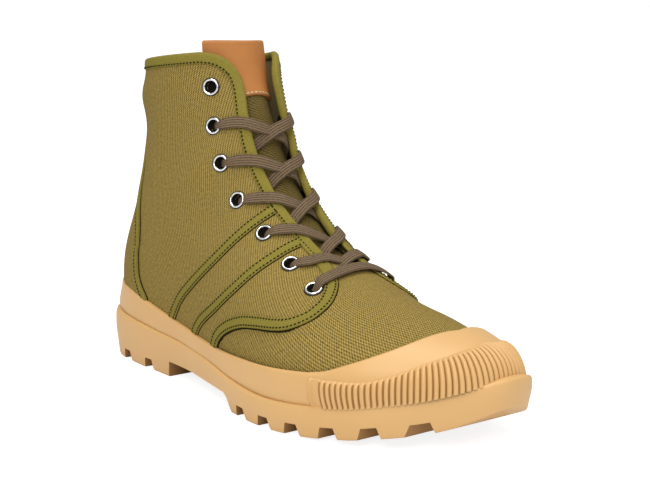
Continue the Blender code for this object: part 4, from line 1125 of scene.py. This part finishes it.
def lace_ring(points, normals, widths):
    """Flat rounded section swept along points, with the length in its UV."""
    tangent = unit(np.gradient(points, axis=0))
    across = unit(np.cross(normals, tangent))
    face = np.cross(tangent, across)
    turns = full_turn(LACE_SIDES)
    wide = signed_power(np.cos(turns), LACE_FLAT)
    thick = signed_power(np.sin(turns), LACE_ROUND)
    half = 0.5 * LACE_WIDTH * widths[:, None, None]
    tall = 0.5 * LACE_THICKNESS / np.sqrt(widths)[:, None, None]
    grid = points[:, None] + across[:, None] * half * wide[:, None] + face[:, None] * tall * thick[:, None]
    size = (len(points), LACE_SIDES)
    length = np.broadcast_to(path_lengths(points)[:, None], size)
    return grid, np.stack([length, np.broadcast_to(0.5 * LACE_WIDTH * wide, size)], -1)


def section_at_height(half, z, side):
    """Section at which the outer face reaches a height, at a distance to the side of the ridge."""
    k = HEIGHT_SECTIONS
    return np.array(np.interp(z, upper_point(k, share_at_half(k, half, side), side)[:, 2], k))


def lace_spot(k, y, side, lift):
    """Point and normal of a lace beside the ridge of a section."""
    s = share_at_half(k, abs(y), side)
    return skin(k, s, side, lift), upper_normal(k, s, side)


def softened(values):
    """Values with their inner rows drawn to the neighbours."""
    inner = 0.25 * values[:-2] + 0.5 * values[1:-1] + 0.25 * values[2:]
    return np.concatenate([values[:1], inner, values[-1:]])


def lace_strip(row, after, start_side, rise):
    """Points, normals and widths of one strip of a crossing."""
    where = np.linspace(0, len(LACE_ROUTE) - 1, LACE_STEPS)
    index = np.arange(len(LACE_ROUTE))
    route = LaceRow(*(smooth(where, index, column(LACE_ROUTE, name)) for name in LaceRow._fields))
    pull = 1 + (row.half / -LACE_ROUTE[0].across - 1) * ease((-route.across - PULL_START) / PULL_SPAN)
    start_z, after_z = (upper_point(*eyelet_place(end, start_side), start_side)[2] for end in (row, after))
    heights = start_z + route.climb * (start_z - after_z) / LACE_ROW_DROP
    sections = row.section + (after.section - row.section) * route.down
    spots = []
    for y, lift, z, section in zip(route.across * pull, route.lift, heights, sections):
        side = start_side if y < 0 else -start_side
        k = np.array(section) if after is EYELETS[-1] else section_at_height(abs(y), z, side)
        spots.append(lace_spot(k, y, side, lift + rise * math.exp(-(y / OVER_REACH) ** 2)))
    points, normals = (np.array(values) for values in zip(*spots))
    for _ in range(LACE_SOFTENING):
        points, normals = softened(points), unit(softened(normals))
    return points, normals, route.wide


def build_lace(materials):
    for number in range(1, len(EYELETS) - 1):
        cloth = Cloth()
        for side, rise in ((LATERAL, 0.0), (MEDIAL, LACE_OVER_RISE)):
            grid, uv = lace_ring(*lace_strip(EYELETS[number], EYELETS[number + 1], side, rise))
            cloth.add(grid, close=True, uv=uv)
        cloth.make(f"lace_cross_{number}", materials["lace"], "lace", [f"lace_crossing_{number}"], weld=False)
    build_lace_bar(materials)


def build_lace_bar(materials):
    """Lace straight across the lowest eyelets."""
    last = EYELETS[-1]
    y = np.linspace(-last.half, last.half, LACE_BAR_STEPS)
    inside = np.clip((last.half - np.abs(y)) / BAR_RUN, 0, 1)
    lifts = BAR_DEPTH + (LACE_BAR_LIFT - BAR_DEPTH) * ease(inside * BAR_STEEP)
    k = np.array(last.section)
    spots = [lace_spot(k, value, side_of(value), lift) for value, lift in zip(y, lifts)]
    points, normals = (np.array(values) for values in zip(*spots))
    grid, uv = lace_ring(points, unit(normals), BAR_NARROW + (1 - BAR_NARROW) * ease(inside))
    cloth = Cloth().add(grid, close=True, uv=uv)
    cloth.make("lace_straight_bar", materials["lace"], "lace", ["lace_bar"], weld=False)


# Rubber

WALL_LEVELS = np.arange(14.0, 52.0, 1.0)
# Level whose plan gives the places along the sole, and the sink of the rubber's foot under the lip.
PLAN_LEVEL, FOOT_SINK = 17, 0.6
FOXING_SHARES = np.array([0.0, 0.08, 0.2, 0.35, 0.5, 0.65, 0.78, 0.88, 0.94, 0.975, 1.0, 1.0, 1.0])
# Rounding at the foxing's foot and rim, and its lifts inside the rim and under the bumper.
FOXING_FOOT, FOXING_RIM = np.array([-1.6, -0.5]), np.array([-0.15, -0.6, -1.2])
FOXING_INSIDE, FOXING_TUCKED = -0.4, 0.5
FOXING_MIDDLE = (120.0, 0.0)
FOXING_STEPS, FOXING_HEEL_STEPS = 190, 40
# Toe cap: share that it reaches down to, bunching of its columns, and sink of its rolled edge.
CAP_END, CAP_BUNCH, CAP_SINK = 0.96, 1.2, 0.9
CAP_ROWS, CAP_EDGE_ROWS, CAP_COLUMNS, CAP_EDGE_STEPS = 50, 60, 60, 160
BUMPER_SHARES = np.array([0.0, 0.1, 0.25, 0.4, 0.55, 0.68, 0.78, 0.86, 0.91, 0.95, 0.98, 1.0, 1.0])
# Bumper: reach of the lip's height ahead, lift at the rim, middle height, plain ends and their beads
# (degrees from the end and span, lifts), and how ribs and body fade up its side.
BUMPER_AHEAD, BUMPER_RIM, BUMPER_HEIGHT = 3.0, 0.5, 30.0
PLAIN_END, PLAIN_SPAN, BEAD_END, BEAD_SPAN = 6.5, 1.5, 1.6, 0.6
PLAIN_LIFT, BEAD_LIFT = 0.1, 0.6
RIB_FADE = ((0.0, 0.80, 0.93, 1.0), (1.0, 1.0, 0.6, 0.1))
BODY_FADE = ((0.0, 0.6, 0.97, 1.0), (1.0, 1.0, 0.9, 0.62))
# Share up the bumper's side below which the rib valleys get painted shade.
VALLEY_SHADE_END = 0.95
TOE_REACH, TURN_STEPS, TOE_SAMPLES = 60, 721, 600
OUTLINE_STEPS = 24
# Share of the outsole's side above which its rounded top starts.
LIP_SHARE = 0.9
TREAD_COLUMNS = 9
INSOLE_WIDTH, INSOLE_START, INSOLE_LENGTH = 0.85, 10.0, 274.5
INSOLE_RISE, INSOLE_DISH, INSOLE_COLUMNS = 3.4, 1.2, 25
INSOLE_X = np.concatenate([[0.6, 1.5, 3.0, 6.0], np.arange(10.0, 292.0, 4.0), [294.0, 297.0, 299.2]])


def level_rings(ray_points):
    """Plan points of the outer face at each wall level, by a function of the two level curves."""
    return np.array([ray_points(level_plan(z)) for z in WALL_LEVELS])


def polar_points(curve, centre, angles):
    """Points of a plan curve on rays from a centre."""
    offset = curve - np.asarray(centre)
    turn = np.arctan2(offset[:, 1], offset[:, 0])
    order = np.argsort(turn)
    radius = np.interp(angles, turn[order], np.hypot(*offset.T)[order])
    return np.asarray(centre) + radius[:, None] * np.stack([np.cos(angles), np.sin(angles)], -1)


def wall_grid(rings, low, high, shares):
    """Grid on the outer face between two heights at each station."""
    grid = np.zeros((len(shares), rings.shape[1], 3))
    for j in range(rings.shape[1]):
        z = low[j] + shares * (high[j] - low[j])
        for axis in (0, 1):
            grid[:, j, axis] = np.interp(z, WALL_LEVELS, rings[:, j, axis])
        grid[:, j, 2] = z
    return grid


def foxing_points(curves):
    """Plan points once round the foxing, from the lateral side round the heel to the medial side."""
    straight = np.linspace(PARTING_X + FOXING_TUCK, HEEL_CENTRE[0], FOXING_STEPS)
    turns = np.radians(np.linspace(-90, -180, FOXING_HEEL_STEPS))[1:]
    halves = []
    for side in SIDES:
        plan = curves[side][::-1]
        front = np.stack([straight, np.interp(straight, plan[:, 0], plan[:, 1])], -1)
        halves.append(np.concatenate([front, polar_points(curves[side], HEEL_CENTRE, -side * turns)]))
    return np.concatenate([halves[0], halves[1][-2::-1]])


def build_foxing(materials):
    rings = level_rings(foxing_points)
    x = rings[PLAN_LEVEL, :, 0]
    grid = wall_grid(rings, sole_height("lip", x) - FOOT_SINK, sole_height("foxing", x), FOXING_SHARES)
    outward = grid - np.array([*FOXING_MIDDLE, 0.0])
    outward[..., 2] = 0
    lift = FOXING_LIFT_BOTTOM + FOXING_SHARES * (FOXING_LIFT_TOP - FOXING_LIFT_BOTTOM)
    lift[:2] = FOXING_LIFT_BOTTOM + FOXING_FOOT
    lift[-4:-1] = FOXING_LIFT_TOP + FOXING_RIM
    lift[-1] = FOXING_INSIDE
    tuck = ease((x - PARTING_X) / FOXING_TUCK * 2)
    lift = lift[:, None] * (1 - tuck) + FOXING_TUCKED * tuck
    grid = grid + grid_normals(grid, outward) * lift[..., None]
    Cloth().add(grid).make("foxing_rubber", materials["rubber"], "rubber", ["foxing"])


def build_toe_cap(materials):
    start, end = CAP_EDGE[0].section, CAP_EDGE[-1].section
    k = np.unique(np.concatenate([np.linspace(0, start, CAP_ROWS), np.linspace(start, end, CAP_EDGE_ROWS)]))
    first = np.where(k < start, 0.0, read_table(CAP_EDGE, "section", "share", k))
    edge_k = np.linspace(start, end, CAP_EDGE_STEPS)
    edge_s = read_table(CAP_EDGE, "section", "share", edge_k)
    spread = np.linspace(0, 1, CAP_COLUMNS)[None, :] ** CAP_BUNCH
    s = first[:, None] + (CAP_END - first)[:, None] * spread
    sections = np.broadcast_to(k[:, None], s.shape)
    cloth = Cloth()
    for side in SIDES:
        away = upper_point(sections, s, side)[:, :, None] - upper_point(edge_k, edge_s, side)
        gap = np.min(np.linalg.norm(away, axis=-1), -1)
        roll = np.sqrt(np.clip(1 - (1 - np.clip(gap / CAP_ROUND, 0, 1)) ** 2, 0, 1))
        grid = skin(sections, s, side, (CAP_LIFT + CAP_SINK) * roll - CAP_SINK)
        cloth.add(grid, flip=side == MEDIAL)
    cloth.make("toe_cap_rubber", materials["rubber"], "rubber", ["toe_cap"])


def toe_plan(curves):
    plan = np.concatenate([curves[LATERAL][::-1], curves[MEDIAL]])
    return plan[plan[:, 0] > TOE_CENTRE[0] - TOE_REACH]


def bumper_turns():
    """Directions from the toe's centre that space the ribs evenly round the toe."""
    turns = np.radians(np.linspace(-BUMPER_SWEEP, BUMPER_SWEEP, TURN_STEPS) + BUMPER_MIDDLE)
    ring = polar_points(toe_plan(level_plan(RIB_LEVEL, TOE_SAMPLES)), TOE_CENTRE, turns)
    length = path_lengths(ring)
    return np.interp(np.linspace(0, length[-1], RIB_POINTS * RIB_COUNT + 1), length, turns)


BUMPER_TURNS = bumper_turns()


def blurred(values, reach):
    """Running mean along the stations of a grid."""
    first, last = (np.repeat(end, reach, 1) for end in (values[:, :1], values[:, -1:]))
    padded = np.concatenate([first, values, last], 1)
    return np.mean([padded[:, i:i + values.shape[1]] for i in range(2 * reach + 1)], axis=0)


def bumper_points(curves):
    return polar_points(toe_plan(curves), TOE_CENTRE, BUMPER_TURNS)


def build_bumper(materials):
    rings = blurred(level_rings(bumper_points), RIB_POINTS)
    turns = np.degrees(BUMPER_TURNS) - BUMPER_MIDDLE
    low = sole_height("lip", rings[PLAN_LEVEL, :, 0] + BUMPER_AHEAD) - FOOT_SINK
    high = read_table(BUMPER_TOP, "angle", "top", np.abs(turns - BUMPER_LEAN))
    grid = wall_grid(rings, low, high, BUMPER_SHARES)
    outward = grid - np.array([*TOE_CENTRE, BUMPER_HEIGHT])
    normals = unit(blurred(grid_normals(grid, outward), RIB_POINTS))
    phase = np.abs((np.linspace(0, RIB_COUNT, RIB_POINTS * RIB_COUNT + 1) + 0.5) % 1 - 0.5) * 2
    past_end = np.abs(turns) - BUMPER_SWEEP
    plain = ease((past_end + PLAIN_END) / PLAIN_SPAN)
    bead = ease((past_end + BEAD_END) / BEAD_SPAN)
    rib = np.sqrt(np.clip(1 - phase ** 2, 0, 1)) * (1 - plain) + (PLAIN_LIFT + BEAD_LIFT * bead) * plain
    fade, body = (np.interp(BUMPER_SHARES, *shape)[:, None] for shape in (RIB_FADE, BODY_FADE))
    lift = RIB_VALLEY * body + (RIB_PEAK - RIB_VALLEY) * fade * rib
    lift[-1] = BUMPER_RIM
    lift[:, [0, -1]] = BUMPER_RIM
    # Faces in the rib valleys take the darker rubber as painted shade.
    valley = (phase > RIB_SHADE_EDGE) & (plain < 0.5)
    valley_shade = (valley[:-1] | valley[1:])[None, :] & (BUMPER_SHARES[1:] < VALLEY_SHADE_END)[:, None]
    cloth = Cloth().add(grid + normals * lift[..., None], shade=valley_shade.astype(int))
    cloth.make("toe_bumper_rubber", materials["rubber"], "rubber", ["toe_bumper"],
               shade_material=materials["rubber_shade"])


def outline_halves():
    """Lateral and medial halves of the sole's outline, from heel to toe."""
    points = np.array(OUTLINE, float)
    f = np.linspace(0, 1, OUTLINE_STEPS, endpoint=False)[:, None]
    neighbours = [[points[(i + j) % len(points)] for j in (-1, 0, 1, 2)] for i in range(len(points))]
    dense = np.concatenate([passing(*four, f) for four in neighbours])
    toe = TOE_POINT * OUTLINE_STEPS
    return {LATERAL: dense[:toe + 1], MEDIAL: np.concatenate([dense[toe:], dense[:1]])[::-1]}


HALVES = outline_halves()


def outline_y(x, side):
    return np.interp(x, HALVES[side][:, 0], HALVES[side][:, 1])


def tread_rise(x, side):
    """Rise of the underside over the tread line: heel edge, grooves and arch."""
    rise = np.interp(x, HEEL_ROUND_X, HEEL_ROUND_RISE)
    for row in GROOVES:
        if row.side in (side, BOTH):
            rise = np.maximum(rise, np.interp(x, *groove_shape(row.rear), left=0, right=0))
    return np.maximum(rise, np.interp(x, ARCH_X, ARCH_RISE, left=0, right=0))


def groove_shape(rear):
    front = rear + GROOVE_WIDTH
    return (rear, rear + GROOVE_DRAFT, front - GROOVE_DRAFT, front), (0.0, GROOVE_DEPTH, GROOVE_DEPTH, 0.0)


def sole_stations():
    """Places along the sole with every corner of the tread."""
    groove_x = [x for row in GROOVES for x in groove_shape(row.rear)[0]]
    return np.unique(np.concatenate([HALVES[LATERAL][:, 0], HALVES[MEDIAL][:, 0], groove_x, ARCH_X]))


def sole_half(side):
    """Plan points and outward directions of one half of the outline, from heel to toe."""
    x = sole_stations()
    points = np.stack([x, outline_y(x, side)], -1)
    half = HALVES[side]
    slope = np.gradient(half, axis=0)
    turn = np.unwrap(np.arctan2(slope[:, 1], slope[:, 0]))
    turn[0], turn[-1] = side * 0.5 * math.pi, -side * 0.5 * math.pi
    angle = np.interp(x, half[:, 0], turn) + side * 0.5 * math.pi
    return points, np.stack([np.cos(angle), np.sin(angle)], -1)


def build_outsole(materials):
    wall = Cloth()
    edges = []
    insets, shares = column(SOLE_SIDE, "inset"), column(SOLE_SIDE, "share")
    for side in SIDES:
        points, outward = sole_half(side)
        x = points[:, 0]
        ground, top = np.maximum(0.0, sole_height("ground", x)), sole_height("lip", x)
        under = ground + tread_rise(x, side)
        columns = []
        for row in SOLE_SIDE:
            z = np.maximum(ground + (top - ground) * row.share, under)
            share = np.maximum((z - ground) / (top - ground), row.share)
            inset = np.where(row.share < LIP_SHARE, np.interp(share, shares[:-1], insets[:-1]), row.inset)
            plan = points - outward * inset[:, None]
            columns.append(np.concatenate([plan, z[:, None]], 1))
        wall.add(np.stack(columns, 1), flip=side == MEDIAL)
        edges.append(columns[0])
    item = wall.make("outsole_rubber", materials["rubber"], "rubber", ["outsole"])
    item.data.set_sharp_from_angle(angle=SHARP_EDGE)
    build_tread(materials, *edges)


def build_tread(materials, lateral, medial):
    """Underside across the sole, in rubber darkened as painted shade between the toe and the heel's edge."""
    shares = np.linspace(0, 1, TREAD_COLUMNS)[None, :, None]
    grid = lateral[:, None] * (1 - shares) + medial[:, None] * shares
    x = lateral[:-1, :1]
    ends = np.broadcast_to((x > TREAD_END) | (x < HEEL_ROUND_X[-1]), (len(grid) - 1, TREAD_COLUMNS - 1))
    cloth = Cloth().add(grid, shade=ends.astype(int))
    item = cloth.make("outsole_tread", materials["tread"], "rubber", shade_material=materials["rubber"])
    item.data.set_sharp_from_angle(angle=SHARP_TREAD)


def build_insole(materials):
    lateral, medial = (outline_y(INSOLE_X, side) for side in SIDES)
    middle, half = 0.5 * (lateral + medial), 0.5 * (medial - lateral) * INSOLE_WIDTH
    x = INSOLE_START + INSOLE_LENGTH * INSOLE_X / SOLE_LENGTH
    columns = []
    for share in np.linspace(-1, 1, INSOLE_COLUMNS):
        z = sole_height("lip", x) + INSOLE_RISE + INSOLE_DISH * abs(share) ** 4
        columns.append(np.stack([x, middle + share * half, z], -1))
    Cloth().add(np.stack(columns, 1)).make("insole_cover", materials["insole"], "insole_cloth", ["insole"])


# Stage

CAMERA_PLACE = (0.5633, -0.4354, 0.1998)
CAMERA_YAW, CAMERA_PITCH, CAMERA_ROLL = 140.73, -9.37, 0.4
CAMERA_LENS, CAMERA_SENSOR = 74.3, 36.0
CAMERA_NEAR, CAMERA_FAR = 0.01, 100.0
FLOOR_GLOW, FLOOR_SHADE, FLOOR_SEEN = 0.85, 0.86, 0.4
FLOOR_REACH, FLOOR_ROUGHNESS = 30.0, 0.8
SKY_STRENGTH, SKY_SEEN = 0.55, 1.0
LightRow = namedtuple("LightRow", "name place target size power")
LIGHTS = make_table(LightRow, [
    ("key", (0.75, -1.0, 1.0), (0.0, 0.0, 0.08), 0.8, 11.5),
    ("fill", (1.5, 0.2, 0.8), (0.05, 0.0, 0.06), 0.9, 3.0),
    ("top", (0.15, -0.1, 1.8), (0.0, 0.0, 0.0), 1.2, 21.0),
])


def seen_strength(tree, lighting, seen):
    """Strength of a white surface for its light and for the view of it."""
    path = tree.nodes.new("ShaderNodeLightPath")
    mix = tree.nodes.new("ShaderNodeMapRange")
    mix.inputs["To Min"].default_value = lighting
    mix.inputs["To Max"].default_value = seen
    tree.links.new(path.outputs["Is Camera Ray"], mix.inputs["Value"])
    return mix.outputs["Result"]


def show(name, data):
    item = bpy.data.objects.new(name, data)
    bpy.context.scene.collection.objects.link(item)
    return item


def build_floor():
    mesh = bpy.data.meshes.new("floor")
    plan = ((-1, -1), (1, -1), (1, 1), (-1, 1))
    mesh.from_pydata([(x * FLOOR_REACH, y * FLOOR_REACH, 0) for x, y in plan], [], [(0, 1, 2, 3)])
    material, shader = principled("pale_floor", (1, 1, 1), FLOOR_ROUGHNESS)
    shader.inputs["Emission Color"].default_value = (1, 1, 1, 1)
    link(material, seen_strength(material.node_tree, 0.0, FLOOR_GLOW), shader.inputs["Emission Strength"])
    link(material, seen_strength(material.node_tree, FLOOR_SHADE, FLOOR_SEEN), shader.inputs["Base Color"])
    mesh.materials.append(material)
    floor = show("floor", mesh)


def build_lights():
    for row in LIGHTS:
        light = bpy.data.lights.new(row.name, "AREA")
        light.energy, light.size = row.power, row.size
        item = show(row.name, light)
        item.location = row.place
        item.rotation_euler = (Vector(row.target) - Vector(row.place)).to_track_quat("-Z", "Y").to_euler()
    world = bpy.data.worlds.new("studio")
    world.use_nodes = True
    background = world.node_tree.nodes["Background"]
    background.inputs["Color"].default_value = (1, 1, 1, 1)
    strength = seen_strength(world.node_tree, SKY_STRENGTH, SKY_SEEN)
    world.node_tree.links.new(strength, background.inputs["Strength"])
    bpy.context.scene.world = world
    bpy.context.scene.view_settings.view_transform = "Standard"


def build_camera():
    data = bpy.data.cameras.new("camera")
    data.lens, data.sensor_width = CAMERA_LENS, CAMERA_SENSOR
    data.clip_start, data.clip_end = CAMERA_NEAR, CAMERA_FAR
    camera = show("camera", data)
    camera.location = CAMERA_PLACE
    turn = Euler((math.radians(90 + CAMERA_PITCH), 0.0, math.radians(CAMERA_YAW - 90)), "XYZ").to_matrix()
    roll = Euler((0.0, 0.0, math.radians(CAMERA_ROLL)), "XYZ").to_matrix()
    camera.rotation_euler = (turn @ roll).to_euler()
    bpy.context.scene.camera = camera


def main():
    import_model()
    materials = make_materials()
    dark, pale = Stitches(*DARK_STITCH), Stitches(*PALE_STITCH)
    build_outsole(materials)
    build_insole(materials)
    build_foxing(materials)
    build_toe_cap(materials)
    build_bumper(materials)
    build_upper(materials)
    build_tongue(materials)
    build_tab(materials, pale)
    build_binding(materials, dark)
    build_tapes(materials, dark)
    build_backstay(materials, dark)
    build_patch(materials, pale)
    build_eyelets(materials)
    build_lace(materials)
    dark.cloth.make("tape_stitches", materials["thread"], "tape", weld=False)
    pale.cloth.make("leather_stitches", materials["pale_thread"], "leather", weld=False)
    build_floor()
    build_lights()
    build_camera()


main()
